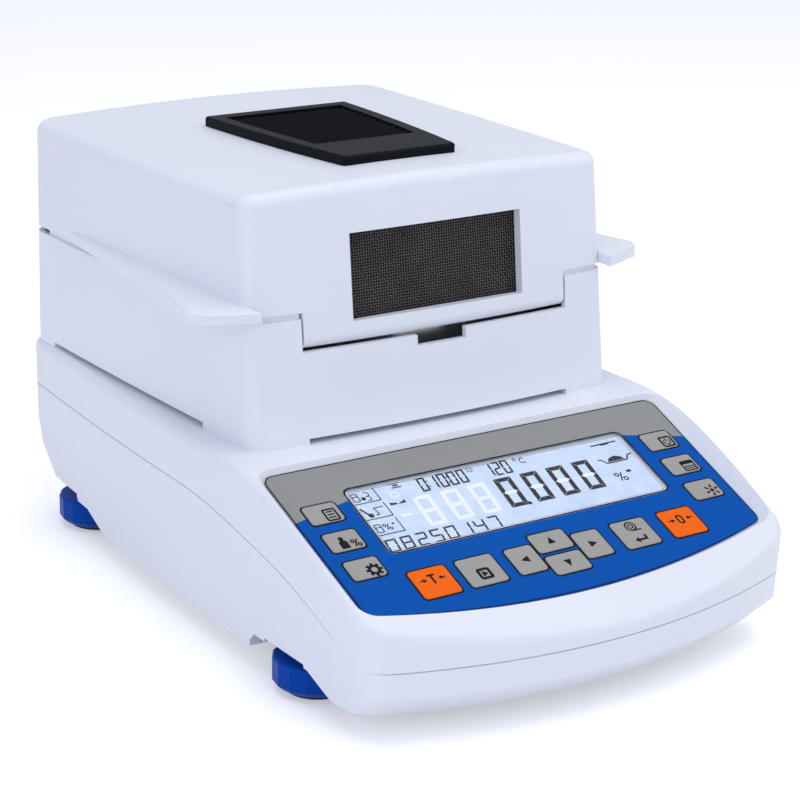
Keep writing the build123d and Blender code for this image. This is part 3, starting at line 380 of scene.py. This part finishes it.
def mark_gear():
    """A gear with eight teeth."""
    teeth = []
    for i in range(8):
        a = math.pi * i / 4
        teeth.append(bar(2.6 + 1.6 * math.cos(a), -1.4 + 1.6 * math.sin(a),
                         2.6 + 2.9 * math.cos(a), -1.4 + 2.9 * math.sin(a), 1.1))
    return arc_band(2.6, -1.4, 1.6, 1.0, 0, 360, 28) + teeth


def mark_power():
    """The usual on and off mark in a dark box."""
    outer = frame_band(2.6, -1.3, 4.6, 4.6, 0.6, 0.8)
    return outer + arc_band(2.6, -1.4, 1.25, 0.45, 130, 410) + [bar(2.6, -1.2, 2.6, 0.5, 0.45)]


def mark_table():
    """A table with a heading row."""
    return frame_band(2.4, -1.3, 5.0, 4.6, 0.3, 0.6) + [
        [(-0.1, 1.0), (4.9, 1.0), (4.9, -0.4), (-0.1, -0.4)],
        bar(0.0, -1.6, 4.8, -1.6, 0.5), bar(0.0, -2.6, 4.8, -2.6, 0.5)]


def mark_spread():
    """Several small arms about a middle."""
    arms = [disc(2.6, -1.4, 0.8)]
    for i in range(6):
        a = math.pi * i / 3 + 0.3
        arms.append(bar(2.6 + 1.3 * math.cos(a), -1.4 + 1.3 * math.sin(a),
                        2.6 + 2.8 * math.cos(a), -1.4 + 2.8 * math.sin(a), 0.8))
    return arms


def mark_arrow(x, y, length, direction):
    """A short arrow that points left or right."""
    tip = x + direction * length / 2
    return [bar(x - direction * length / 2, y, tip - direction * 0.8, y, 0.55),
            [(tip, y), (tip - direction * 1.3, y + 0.95), (tip - direction * 1.3, y - 0.95)]]


def mark_tare():
    """Two arrows that meet at a bar."""
    return mark_arrow(-3.4, 1.2, 2.6, 1) + mark_arrow(3.4, 1.2, 2.6, -1) + [
        bar(0, -0.9, 0, 3.2, 0.8), bar(-1.4, 3.0, 1.4, 3.0, 0.8)]


def mark_zero():
    """Two arrows that meet at a zero."""
    arrows = mark_arrow(-3.6, 1.2, 2.6, 1) + mark_arrow(3.6, 1.2, 2.6, -1)
    return arrows + frame_band(0, 1.2, 1.9, 3.6, 0.9, 0.75)


def mark_play():
    """A play mark in a dark box."""
    return frame_band(0.2, -1.6, 3.9, 3.9, 0.5, 1.1) + [[(-0.7, -0.3), (-0.7, -2.9), (1.5, -1.6)]]


def mark_triangle(angle):
    """A filled triangle that points at an angle in degrees."""
    return [[(1.9 * math.cos(math.radians(angle + turn)), 1.9 * math.sin(math.radians(angle + turn)))
             for turn in (0, 130, 230)]]


def mark_enter():
    """A roll of paper over an enter arrow."""
    roll = arc_band(0.0, 3.2, 1.9, 0.6, 0, 360, 28) + arc_band(0.0, 3.2, 0.9, 0.5, 0, 360)
    roll.append(bar(0, 1.2, 3.2, 1.2, 0.6))
    return roll + [bar(2.4, -1.4, 2.4, -3.2, 0.9), bar(2.8, -3.3, -0.6, -3.3, 0.9),
                   [(-2.4, -3.3), (-0.5, -1.9), (-0.5, -4.7)]]


MARKS = {
    "key_left_upper": mark_sheet, "key_left_middle": mark_weight, "key_left_lower": mark_gear,
    "key_right_upper": mark_power, "key_right_middle": mark_table, "key_right_lower": mark_spread,
    "key_tare": mark_tare, "key_zero": mark_zero, "key_start": mark_play, "key_enter": mark_enter,
    "key_arrow_left": lambda: mark_triangle(180), "key_arrow_right": lambda: mark_triangle(0),
    "key_arrow_up": lambda: mark_triangle(90), "key_arrow_down": lambda: mark_triangle(270),
}


def on_plane(node):
    """A node's extent on the keypad's plane: middle x, middle y, width and height, in mm, and its top."""
    inverse = KEYPAD.inverted()
    points = [inverse @ vertex.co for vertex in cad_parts[node].data.vertices]
    low = [min(p[i] for p in points) / MM for i in range(3)]
    high = [max(p[i] for p in points) / MM for i in range(3)]
    return (low[0] + high[0]) / 2, (low[1] + high[1]) / 2, high[0] - low[0], high[1] - low[1], high[2]


def overlay_loop(margin):
    """The overlay's outline, drawn in by a margin, as the CAD draws it."""
    half_rear, half_front = OVERLAY_REAR_HALF - margin, OVERLAY_FRONT_HALF - margin
    apex, radius = OVERLAY_APEX - margin, OVERLAY_CORNER - margin
    sag = apex - OVERLAY_SIDE
    bow = (half_front ** 2 + sag ** 2) / (2 * sag)
    points = []
    for sx in (1, -1):
        corner = [(sx * (half_rear - radius + radius * math.cos(a)), -margin - radius + radius * math.sin(a))
                  for a in (math.pi / 2 * i / 8 for i in range(9))]
        points.append(corner)
    front = []
    reach = math.asin((half_front - radius * 0.75) / bow)
    for i in range(33):
        a = reach - 2 * reach * i / 32
        front.append((bow * math.sin(a), -apex + bow - bow * math.cos(a)))
    end = front[0][1]
    right_turn = [(half_front + 0.03, end + radius * 1.15), (half_front - 0.35, end + radius * 0.5),
                  (half_front - 1.6, end + radius * 0.14)]
    left_turn = [(-x, y) for x, y in right_turn]
    return points[0] + points[1][::-1] + left_turn + front[::-1] + right_turn[::-1]


class AnalyzerOperator:
    """What every operator here shares"""
    bl_options = {"REGISTER", "UNDO"}


class ANALYZER_OT_casing(AnalyzerOperator, bpy.types.Operator):
    """Moulded white casing of base, chamber and lid"""
    bl_idname = "analyzer.casing"
    bl_label = "Casing"

    def execute(self, context):
        s = context.scene.analyzer_casing
        white = moulded_abs("moulded_white_abs", s.white, "#E5E9F2", s.grain, s.roughness)
        dress(white, "base_bottom", "base_cover", "chamber_housing", "lid_shell")
        return {"FINISHED"}


class ANALYZER_OT_keypad(AnalyzerOperator, bpy.types.Operator):
    """Printed overlay, keys and their marks"""
    bl_idname = "analyzer.keypad"
    bl_label = "Keypad"

    def execute(self, context):
        s = context.scene.analyzer_keypad
        dress(self.printed_film(s), "keypad_overlay")
        plain = self.key_film("key_film_grey", s.key)
        orange = self.key_film("key_film_orange", s.zero_key)
        ink = self.ink(s)
        outlines = []
        for name in KEY_NAMES:
            is_zero = name in ("key_tare", "key_zero")
            dress(orange if is_zero else plain, name)
            x, y, width, height, top = on_plane(name)
            size = s.mark_scale
            shapes = [[(x + px * size, y + py * size) for px, py in shape] for shape in MARKS[name]()]
            flat_print(name + "_mark", shapes, KEYPAD, top + PRINT_LIFT, ink, name)
            outlines += frame_band(x, y, width + s.outline, height + s.outline, 1.8, s.outline)
        flat_print("key_outlines", outlines, KEYPAD, PRINT_LIFT, ink, "base")
        # A dark ink ribbon round the overlay's edge: partly the film's dark outline, partly painted shade of
        # the recess the film lies in
        edge = ribbon(overlay_loop(0.05), overlay_loop(0.6))
        flat_print("overlay_edge_outline_and_shade", edge, KEYPAD, PRINT_LIFT, ink, "base")
        return {"FINISHED"}

    def printed_film(self, s):
        """Polyester film printed from behind: two flat fields of ink under a fine satin."""
        material, tree, shader = new_material(
            "printed_polyester_film", IOR=1.58, Roughness=0.42, Specular_IOR_Level=0.04)
        grain_bump(tree, shader, 0.5, 0.01, 0.2)
        place = add_node(tree, "ShaderNodeTexCoord")
        flat = add_node(tree, "ShaderNodeMapping", {
            "Vector": place.outputs["Object"], "Location": KEYPAD_ORIGIN,
            "Rotation": (KEYPAD_TILT, 0, 0), "Scale": (MM, MM, MM)}, vector_type="TEXTURE")
        split = add_node(tree, "ShaderNodeSeparateXYZ", {"Vector": flat.outputs["Vector"]})
        left, right = [add_node(tree, "ShaderNodeMath", {
            0: split.outputs["X"], 1: slope, 2: depth}, operation="MULTIPLY_ADD")
            for slope, depth in (STRIP_LEFT, STRIP_RIGHT)]
        edge = add_node(tree, "ShaderNodeMath", {
            0: left.outputs[0], 1: right.outputs[0]}, operation="MAXIMUM")
        edge = add_node(tree, "ShaderNodeMath", {0: edge.outputs[0], 1: STRIP_DEPTH}, operation="MAXIMUM")
        past = add_node(tree, "ShaderNodeMath", {
            0: split.outputs["Y"], 1: edge.outputs[0]}, operation="ADD")
        behind = add_node(tree, "ShaderNodeMath", {0: past.outputs[0], 1: 0.0}, operation="GREATER_THAN")
        mix = add_node(tree, "ShaderNodeMix", {
            "Factor": behind.outputs[0], "A": linear(s.field), "B": linear(s.strip)}, data_type="RGBA")
        tree.links.new(mix.outputs["Result"], shader.inputs["Base Color"])
        return material

    def key_film(self, name, colour):
        """The same film over a key, with a grain that is a little coarser."""
        material, tree, shader = new_material(name, IOR=1.58, Roughness=0.5, Specular_IOR_Level=0.06)
        grain_bump(tree, shader, 0.6, 0.015, 0.3)
        tint(tree, shader, colour, colour, 8)
        return material

    def ink(self, s):
        """Screen-printed black ink: matt, with the slight unevenness of the screen. It also draws the
        overlay's dark edge, which is partly painted shade.
        """
        material, tree, shader = new_material(
            "printed_ink_and_edge_shade", Base_Color=linear(s.line), Roughness=0.55, Specular_IOR_Level=0.15)
        grain_bump(tree, shader, 0.4, 0.01, 0.3)
        return material


class ANALYZER_OT_display(AnalyzerOperator, bpy.types.Operator):
    """Lit display with its figures, behind a clear window"""
    bl_idname = "analyzer.display"
    bl_label = "Display"

    def execute(self, context):
        s = context.scene.analyzer_display
        dress(self.lit_ground(s), "lcd_module")
        # Clear film over the display, which shows only as a faint sheen
        clear, tree, shader = new_material(
            "clear_polyester_window", IOR=1.58, Roughness=0.12, Alpha=0.03, Base_Color=linear("#F2F6FB"))
        grain_bump(tree, shader, 1.5, 0.01, 0.1)
        dress(clear, "display_window")
        # Dark cells with hardly any shine, and the cells that are off, paler than the ground
        dark, tree, shader = new_material(
            "lit_segment_black", Base_Color=linear("#04050A"), Roughness=0.6, Specular_IOR_Level=0.1)
        grain_bump(tree, shader, 0.5, 0.01, 0.1)
        pale, tree, shader = new_material("unlit_segment", Base_Color=linear(s.pale), Roughness=0.5)
        grain_bump(tree, shader, 0.5, 0.01, 0.1)
        flat_print("display_figures", self.figures(s), KEYPAD, FIGURE_LEVEL, dark, "base")
        flat_print("display_unlit_figures", self.unlit(s), KEYPAD, FIGURE_LEVEL, pale, "base")
        x, y, width, height, _ = on_plane("display_window")
        ink = bpy.data.materials["printed_ink_and_edge_shade"]
        border = frame_band(x, y, width - 0.3, height - 0.3, 3.4, 0.75)
        flat_print("display_border", border, KEYPAD, BORDER_LIFT, ink, "base")
        return {"FINISHED"}

    def lit_ground(self, s):
        """Back-lit liquid crystal: a pale blue ground that drifts softly between two tones."""
        material, tree, shader = new_material("back_lit_crystal", IOR=1.5, Roughness=0.35)
        place = add_node(tree, "ShaderNodeTexCoord")
        cloud = add_node(tree, "ShaderNodeTexNoise", {
            "Vector": place.outputs["Object"], "Scale": 1 / (7 * MM), "Detail": 4.0})
        spread = add_node(tree, "ShaderNodeMapRange", {
            "Value": cloud.outputs["Fac"], "From Min": 0.35, "From Max": 0.65, "To Min": 0.0, "To Max": 1.0})
        mix = add_node(tree, "ShaderNodeMix", {
            "Factor": spread.outputs["Result"], "A": linear(s.ground), "B": linear("#D2E2F5")},
            data_type="RGBA")
        tree.links.new(mix.outputs["Result"], shader.inputs["Base Color"])
        tree.links.new(mix.outputs["Result"], shader.inputs["Emission Color"])
        shader.inputs["Emission Strength"].default_value = DISPLAY_GLOW
        return material

    def figures(self, s):
        """Every dark figure, in millimetres on the keypad's plane."""
        shapes = []
        first = DIGIT_LEFT + 3 * s.digit_pitch
        for i, character in enumerate("0000"):
            left = first + i * s.digit_pitch
            shapes += digit(character, left, DIGIT_BASE, DIGIT_WIDTH, s.digit_height, 2.2)
        shapes.append(disc(first + 8.9, DIGIT_BASE + 0.6, 0.95))
        for i, character in enumerate("01000"):
            shapes += digit(character, -35.3 + 4.7 * i, -24.8, 3.7, 8.0, 0.92)
        for x in (-30.9, -21.4):
            shapes += [disc(x, -22.6, 0.4), disc(x + 0.2, -19.4, 0.4)]
        for i, character in enumerate("120"):
            shapes += digit(character, -3.5 + 4.3 * i, -24.8, 3.6, 8.0, 0.92)
        shapes += arc_band(13.0, -18.0, 0.7, 0.4, 0, 360) + arc_band(16.4, -19.2, 1.4, 0.5, 45, 315)
        shapes += arc_band(-9.4, -18.2, 1.3, 0.35, 0, 360) + [disc(-9.4, -18.2, 0.4)]
        for i, character in enumerate("08250147"):
            shapes += digit(character, -67.2 + 6.8 * i, -52.5, 5.0, 7.2, 0.88, 0.1)
        for y in (-24.0, -33.3, -42.5):
            shapes.append(bar(-68.2, y, -54.6, y, 0.5))
        for top, low in ((-16.3, -24.2), (-25.4, -33.5), (-34.8, -42.7)):
            shapes.append(bar(-54.8, top, -54.8, low, 0.5))
        shapes += self.small_marks()
        return shapes

    def small_marks(self):
        """Weights, a thermometer with its step curve, and the lines at the top right."""
        shapes = []
        for y in (-20.4, -38.8):
            shapes += frame_band(-64.6, y, 2.6, 4.4, 0.5, 0.5) + [bar(-65.7, y + 0.6, -63.4, y + 0.6, 0.5)]
        shapes += percent(-60.6, -38.8, 3.8, 0.5) + [disc(-57.6, -37.6, 0.55)]
        shapes += [disc(-61.5, -21.6, 1.0)] + arc_band(-59.4, -19.5, 1.2, 0.45, -120, 130)
        shapes += arc_band(-59.4, -21.9, 1.2, 0.45, -130, 120)
        shapes += [disc(-63.6, -31.2, 1.25), bar(-64.4, -30.4, -66.2, -26.6, 0.9)]
        shapes += line([(-61.6, -31.4), (-59.8, -31.4), (-60.6, -27.6), (-56.2, -27.6)], 0.5)
        shapes += [bar(51.0, -19.8, 64.2, -19.6, 0.75), bar(56.0, -20.2, 60.0, -20.0, 0.9)]
        pan = [(48.8, -28.4), (50.4, -28.8), (51.8, -31.2), (62.2, -31.2), (64.0, -28.6), (66.2, -28.3)]
        shapes += line(pan, 0.7)
        shapes.append([(52.6, -30.6), (61.4, -30.6), (60.2, -28.6), (57.6, -27.6), (54.4, -28.4)])
        shapes += percent(52.8, -40.0, 5.4, 0.65)
        shapes.append([(57.0, -37.0), (59.4, -37.0), (59.4, -38.4), (57.0, -38.4)])
        shapes += [[(-52.8, -26.6), (-49.6, -27.4), (-49.6, -28.2), (-52.8, -28.2)]]
        shapes += [[(-49.4, -28.2), (-45.6, -26.4), (-45.6, -28.2)]]
        shapes += [bar(-47.4, -16.8, -42.4, -16.8, 0.6), bar(-47.0, -19.2, -42.6, -19.2, 0.6),
                   bar(-46.0, -18.0, -43.6, -18.0, 0.9)]
        return shapes

    def unlit(self, s):
        """The segments that are off, which stand out pale."""
        shapes = []
        for i, character in enumerate("888----"):
            left = DIGIT_LEFT + i * s.digit_pitch
            shapes += digit(character, left, DIGIT_BASE, DIGIT_WIDTH, s.digit_height, 2.0)
        shapes.append(bar(-51.8, -34.8, -47.0, -34.8, 1.2))
        shapes += frame_band(-48.0, -22.8, 3.4, 2.6, 0.5, 0.6)
        return shapes


class ANALYZER_OT_window(AnalyzerOperator, bpy.types.Operator):
    """Woven wire mesh of the lid's window, and the glass behind it with the chamber's shade painted on it"""
    bl_idname = "analyzer.window"
    bl_label = "Window"

    def execute(self, context):
        s = context.scene.analyzer_window
        metal = brushed_metal("dark_woven_wire", s.metal, "#5E5857", 0.4, (1, 1, 1))
        low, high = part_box("window_mesh")
        middle = (low + high) / 2
        width = high.x - low.x
        height = (high.z - low.z) / math.cos(FRONT_LEAN) - WEAVE_GAP * MM
        tree = self.weave_tree(metal)
        piece = self.weave(tree, width, height, s)
        plane = Matrix.Translation(middle) @ Matrix.Rotation(math.pi / 2 - FRONT_LEAN, 4, "X")
        piece.data.transform(plane @ Matrix.Translation((-width / 2, -height / 2, 0)))
        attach(piece, "lid")
        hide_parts("window_mesh")
        # Glass painted nearly black: painted shade of the unlit chamber behind it
        glass, tree, shader = new_material(
            "glass_painted_dark_for_chamber_shade", IOR=1.47, Roughness=0.08, Alpha=0.88,
            Base_Color=linear("#0C0B0E"), Specular_IOR_Level=0.2)
        grain_bump(tree, shader, 4, 0.01, 0.05)
        dress(glass, "window_glass")
        return {"FINISHED"}

    def weave_tree(self, metal):
        """Plain weave: two sets of wires that pass over and under each other at each crossing."""
        tree = bpy.data.node_groups.new("plain_weave", "GeometryNodeTree")
        face = tree.interface
        face.new_socket("Geometry", in_out="OUTPUT", socket_type="NodeSocketGeometry")
        for name in ("Width", "Height", "Pitch", "Wire"):
            face.new_socket(name, in_out="INPUT", socket_type="NodeSocketFloat")
        given = add_node(tree, "NodeGroupInput")
        sets = [self.wire_set(tree, given, "Width", "Height", 1),
                self.wire_set(tree, given, "Height", "Width", -1)]
        joined = add_node(tree, "GeometryNodeJoinGeometry")
        for wires in reversed(sets):
            tree.links.new(wires, joined.inputs["Geometry"])
        real = add_node(tree, "GeometryNodeRealizeInstances", {"Geometry": joined.outputs["Geometry"]})
        coated = add_node(tree, "GeometryNodeSetMaterial", {
            "Geometry": real.outputs["Geometry"], "Material": metal})
        out = add_node(tree, "NodeGroupOutput")
        tree.links.new(coated.outputs["Geometry"], out.inputs["Geometry"])
        return tree

    def wire_set(self, tree, given, along, across, side):
        """One set of wires; the first runs along X, and the second is the same set turned onto Y."""
        def maths(operation, *values):
            return add_node(tree, "ShaderNodeMath", dict(enumerate(values)), operation=operation).outputs[0]

        pitch, half_turn = given.outputs["Pitch"], math.pi
        end = add_node(tree, "ShaderNodeCombineXYZ", {"X": given.outputs[along]})
        wire = add_node(tree, "GeometryNodeCurvePrimitiveLine", {"End": end.outputs["Vector"]})
        count = maths("MULTIPLY", maths("DIVIDE", given.outputs[along], pitch), WEAVE_POINTS)
        divided = add_node(tree, "GeometryNodeResampleCurve", {
            "Curve": wire.outputs["Curve"], "Count": count})
        step = add_node(tree, "ShaderNodeCombineXYZ", {"Y": pitch})
        rows = maths("FLOOR", maths("DIVIDE", given.outputs[across], pitch))
        places = add_node(tree, "GeometryNodeMeshLine", {
            "Count": maths("ADD", rows, 1.0), "Offset": step.outputs["Vector"]})
        laid = add_node(tree, "GeometryNodeInstanceOnPoints", {
            "Points": places.outputs["Mesh"], "Instance": divided.outputs["Curve"]})
        real = add_node(tree, "GeometryNodeRealizeInstances", {"Geometry": laid.outputs["Instances"]})
        position = add_node(tree, "GeometryNodeInputPosition")
        where = add_node(tree, "ShaderNodeSeparateXYZ", {"Vector": position.outputs[0]})
        turns = [maths("MULTIPLY", maths("DIVIDE", where.outputs[axis], pitch), half_turn)
                 for axis in ("X", "Y")]
        waves = [maths("COSINE", turn) for turn in turns]
        swing = maths("MULTIPLY", given.outputs["Wire"], 0.5 * side)
        lift = add_node(tree, "ShaderNodeCombineXYZ", {
            "Z": maths("MULTIPLY", maths("MULTIPLY", *waves), swing)})
        bent = add_node(tree, "GeometryNodeSetPosition", {
            "Geometry": real.outputs["Geometry"], "Offset": lift.outputs["Vector"]})
        section = add_node(tree, "GeometryNodeCurvePrimitiveCircle", {
            "Resolution": WIRE_SIDES, "Radius": maths("MULTIPLY", given.outputs["Wire"], 0.5)})
        tube = add_node(tree, "GeometryNodeCurveToMesh", {
            "Curve": bent.outputs["Geometry"], "Profile Curve": section.outputs["Curve"],
            "Fill Caps": True})
        if side > 0:
            return tube.outputs["Mesh"]
        swapped = add_node(tree, "GeometryNodeTransform", {
            "Geometry": tube.outputs["Mesh"], "Rotation": (0, 0, math.pi / 2)})
        moved = add_node(tree, "ShaderNodeCombineXYZ", {"X": maths("MULTIPLY", rows, pitch)})
        placed = add_node(tree, "GeometryNodeTransform", {
            "Geometry": swapped.outputs["Geometry"], "Translation": moved.outputs["Vector"]})
        return placed.outputs["Geometry"]

    def weave(self, tree, width, height, s):
        """The woven mesh as a plain mesh."""
        mesh = bpy.data.meshes.new("window_weave_seed")
        seed = bpy.data.objects.new("window_weave_seed", mesh)
        bpy.context.scene.collection.objects.link(seed)
        modifier = seed.modifiers.new("weave", "NODES")
        modifier.node_group = tree
        values = {"Width": width, "Height": height, "Pitch": s.pitch * MM, "Wire": s.wire * MM}
        for item in tree.interface.items_tree:
            if item.in_out == "INPUT":
                modifier[item.identifier] = values[item.name]
        depsgraph = bpy.context.evaluated_depsgraph_get()
        made = bpy.data.meshes.new_from_object(seed.evaluated_get(depsgraph))
        bpy.data.objects.remove(seed)
        made.name = "window_weave"
        for polygon in made.polygons:
            polygon.use_smooth = True
        piece = bpy.data.objects.new("window_weave", made)
        bpy.context.scene.collection.objects.link(piece)
        return piece


class ANALYZER_OT_grille(AnalyzerOperator, bpy.types.Operator):
    """Black vent grille on top of the lid"""
    bl_idname = "analyzer.grille"
    bl_label = "Vent grille"

    def execute(self, context):
        s = context.scene.analyzer_grille
        black = moulded_abs("moulded_black_nylon", s.black, "#0E0F16", 0.8, 0.42, 0.06)
        dress(black, "top_grille")
        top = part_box("top_grille")[1].z / MM
        # A cut line drawn flat in painted shade: black because little light reaches its floor
        engraved, tree, shader = new_material(
            "engraved_line_painted_shade", Base_Color=linear("#020204"), Roughness=0.5)
        grain_bump(tree, shader, 0.4, 0.01, 0.2)
        mark = line([(0.0, 17.8), (11.7, -1.3)], 0.7)
        flat_print("grille_line_painted_shade", mark, Matrix.Identity(4), top + PRINT_LIFT, engraved,
                   "lid")
        return {"FINISHED"}


class ANALYZER_OT_feet(AnalyzerOperator, bpy.types.Operator):
    """Blue levelling wheels on rubber pads"""
    bl_idname = "analyzer.feet"
    bl_label = "Levelling feet"

    def execute(self, context):
        s = context.scene.analyzer_feet
        dress(moulded_abs("moulded_blue_nylon", s.blue, "#013E9C", 0.8, 0.36, 0.06), *WHEEL_NAMES)
        dress(moulded_abs("foot_rubber", "#1B1B1D", "#232325", 0.6, 0.75), *PAD_NAMES)
        dress(brushed_metal("turned_brass", "#C2A05A", "#B08E48", 0.3, (1, 1, 8)), "foot_inserts")
        return {"FINISHED"}


class ANALYZER_OT_inside(AnalyzerOperator, bpy.types.Operator):
    """Weighing pan, tray, shields, heater and boards"""
    bl_idname = "analyzer.inside"
    bl_label = "Chamber and heater"

    def execute(self, context):
        sheet = brushed_metal("brushed_stainless_sheet", "#C9C8C4", "#BDBBB6", 0.28, (1, 12, 12))
        dress(sheet, "chamber_tray", "draft_shield", "pan_handle", "pan_support", "pan_spindle", "lid_liner",
              "hinge_brackets", "hinge_pins", "temperature_sensor", "cover_screws", "heater_guard")
        dress(brushed_metal("drawn_aluminium_foil", "#DADBDD", "#CDCED1", 0.22, (6, 6, 1)), "sample_pan")
        machined = brushed_metal("machined_aluminium", "#C4C5C9", "#B9BABE", 0.35, (1, 10, 1))
        dress(machined, "load_cell", "load_cell_mount")
        dress(brushed_metal("gilded_reflector", "#D8C79A", "#CDBB8C", 0.2, (1, 8, 8)), "reflector")
        dress(moulded_abs("steatite_ceramic", "#E4DFD3", "#DAD4C6", 0.7, 0.6), "heater_sockets")
        # Frosted tubes with a faint warm glow
        lamp, tree, shader = new_material(
            "halogen_lamp_glass", IOR=1.46, Roughness=0.1, Base_Color=linear("#E8CDB8"),
            Emission_Strength=LAMP_GLOW)
        shader.inputs["Emission Color"].default_value = linear("#E8B9A0")
        grain_bump(tree, shader, 3, 0.02, 0.1)
        dress(lamp, "heater_lamps")
        dress(moulded_abs("glass_fibre_board", "#1E5A3A", "#184C30", 1.0, 0.45), "main_board", "keypad_board")
        dress(moulded_abs("black_supply_case", "#1D1D20", "#242428", 0.9, 0.5), "power_supply")
        return {"FINISHED"}


class ANALYZER_OT_rear(AnalyzerOperator, bpy.types.Operator):
    """Rear connector panel"""
    bl_idname = "analyzer.rear"
    bl_label = "Rear panel"

    def execute(self, context):
        dress(moulded_abs("moulded_grey_panel", "#3A3B40", "#333438", 0.8, 0.5), "rear_panel")
        dress(moulded_abs("moulded_black_inlet", "#17181A", "#1E1F22", 0.7, 0.42), "power_inlet")
        plated = brushed_metal("plated_connector_shell", "#C8C8C6", "#B9B8B4", 0.3, (1, 1, 6))
        dress(plated, "serial_ports", "usb_ports")
        return {"FINISHED"}


class ANALYZER_OT_stage(AnalyzerOperator, bpy.types.Operator):
    """Pale floor, soft studio light and the camera"""
    bl_idname = "analyzer.stage"
    bl_label = "Stage"

    def execute(self, context):
        s = context.scene.analyzer_stage
        self.floor(s)
        self.world(context)
        self.lamps()
        self.camera(context, s)
        context.scene.view_settings.view_transform = "Standard"
        return {"FINISHED"}

    def floor(self, s):
        """A wide pale floor, lifted towards white for the camera, metal and glass."""
        mesh = bpy.data.meshes.new("studio_floor")
        reach = 12.0
        corners = [(-reach, -reach, 0), (reach, -reach, 0), (reach, reach, 0), (-reach, reach, 0)]
        mesh.from_pydata(corners, [], [(0, 1, 2, 3)])
        floor = bpy.data.objects.new("studio_floor", mesh)
        bpy.context.scene.collection.objects.link(floor)
        material, tree, shader = new_material(
            "matt_paper_floor", Base_Color=linear(s.floor), Roughness=0.9)
        shader.inputs["Emission Color"].default_value = (1, 1, 1, 1)
        rays = add_node(tree, "ShaderNodeLightPath")
        seen = add_node(tree, "ShaderNodeMath", {
            0: rays.outputs["Is Camera Ray"], 1: rays.outputs["Is Glossy Ray"]}, operation="MAXIMUM")
        seen = add_node(tree, "ShaderNodeMath", {
            0: seen.outputs[0], 1: rays.outputs["Is Transmission Ray"]}, operation="MAXIMUM")
        glow = add_node(tree, "ShaderNodeMath", {0: seen.outputs[0], 1: FLOOR_GLOW}, operation="MULTIPLY")
        tree.links.new(glow.outputs[0], shader.inputs["Emission Strength"])
        mesh.materials.append(material)

    def world(self, context):
        """Even cool light from all round, and plain white where the camera looks past the floor."""
        world = bpy.data.worlds.new("soft_studio")
        world.use_nodes = True
        context.scene.world = world
        tree = world.node_tree
        light = tree.nodes["Background"]
        light.inputs["Color"].default_value = linear("#E6EAF8")
        light.inputs["Strength"].default_value = WORLD_LIGHT
        white = add_node(tree, "ShaderNodeBackground", {"Color": (1, 1, 1, 1), "Strength": 1.0})
        rays = add_node(tree, "ShaderNodeLightPath")
        mix = add_node(tree, "ShaderNodeMixShader", {
            0: rays.outputs["Is Camera Ray"], 1: light.outputs[0], 2: white.outputs[0]})
        tree.links.new(mix.outputs[0], tree.nodes["World Output"].inputs["Surface"])

    def lamps(self):
        """A large soft lamp above and one at each side."""
        self.lamp("lamp_above", (0.1, -0.2, 1.6), 1.6, 10.8, "#FFFFFF")
        self.lamp("lamp_right", (1.5, -0.9, 0.9), 1.0, 5.2, "#FFFFFF")
        self.lamp("lamp_left", (-1.5, -0.8, 0.7), 1.0, 6.4, "#EEF0FF")

    def lamp(self, name, place, size, power, colour):
        """A square area lamp that faces the object."""
        data = bpy.data.lights.new(name, "AREA")
        data.size = size
        data.energy = power
        data.color = linear(colour)[:3]
        lamp = bpy.data.objects.new(name, data)
        lamp.location = place
        lamp.rotation_euler = (Vector((0, 0, 0.08)) - Vector(place)).to_track_quat("-Z", "Y").to_euler()
        bpy.context.scene.collection.objects.link(lamp)

    def camera(self, context, s):
        """The camera at the photograph's angle."""
        data = bpy.data.cameras.new("photograph_angle")
        data.sensor_width = 36.0
        data.lens = s.lens
        data.clip_start, data.clip_end = 0.02, 60.0
        camera = bpy.data.objects.new("photograph_angle", data)
        turn = Matrix.Rotation(math.radians(s.azimuth), 4, "Z")
        tip = Matrix.Rotation(math.radians(90.0 - s.elevation), 4, "X")
        roll = Matrix.Rotation(math.radians(s.roll), 4, "Z")
        camera.matrix_world = Matrix.Translation(s.eye) @ turn @ tip @ roll
        context.scene.collection.objects.link(camera)
        context.scene.camera = camera


OPERATORS = (
    ANALYZER_OT_casing, ANALYZER_OT_keypad, ANALYZER_OT_display, ANALYZER_OT_window, ANALYZER_OT_grille,
    ANALYZER_OT_feet, ANALYZER_OT_inside, ANALYZER_OT_rear, ANALYZER_OT_stage,
)


class ANALYZER_PT_looks(bpy.types.Panel):
    """Sidebar panel with the operators and their settings"""
    bl_idname = "ANALYZER_PT_looks"
    bl_label = "Moisture analyzer"
    bl_space_type = "VIEW_3D"
    bl_region_type = "UI"
    bl_category = "Analyzer"

    def draw(self, context):
        for operator in OPERATORS:
            self.layout.operator(operator.bl_idname)
        for name, group in GROUPS.items():
            box = self.layout.box()
            for key in group.__annotations__:
                box.prop(getattr(context.scene, name), key)


def register():
    for group in GROUPS.values():
        bpy.utils.register_class(group)
    for name, group in GROUPS.items():
        setattr(bpy.types.Scene, name, bpy.props.PointerProperty(type=group))
    for item in (*OPERATORS, ANALYZER_PT_looks):
        bpy.utils.register_class(item)


def unregister():
    for item in (ANALYZER_PT_looks, *reversed(OPERATORS)):
        bpy.utils.unregister_class(item)
    for name in GROUPS:
        delattr(bpy.types.Scene, name)
    for group in reversed(list(GROUPS.values())):
        bpy.utils.unregister_class(group)


def main():
    """Builds every piece in order."""
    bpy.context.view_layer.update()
    register()
    bpy.ops.analyzer.casing()
    bpy.ops.analyzer.keypad()
    bpy.ops.analyzer.display()
    bpy.ops.analyzer.window()
    bpy.ops.analyzer.grille()
    bpy.ops.analyzer.feet()
    bpy.ops.analyzer.inside()
    bpy.ops.analyzer.rear()
    bpy.ops.analyzer.stage()


if __name__ == "__main__":
    main()
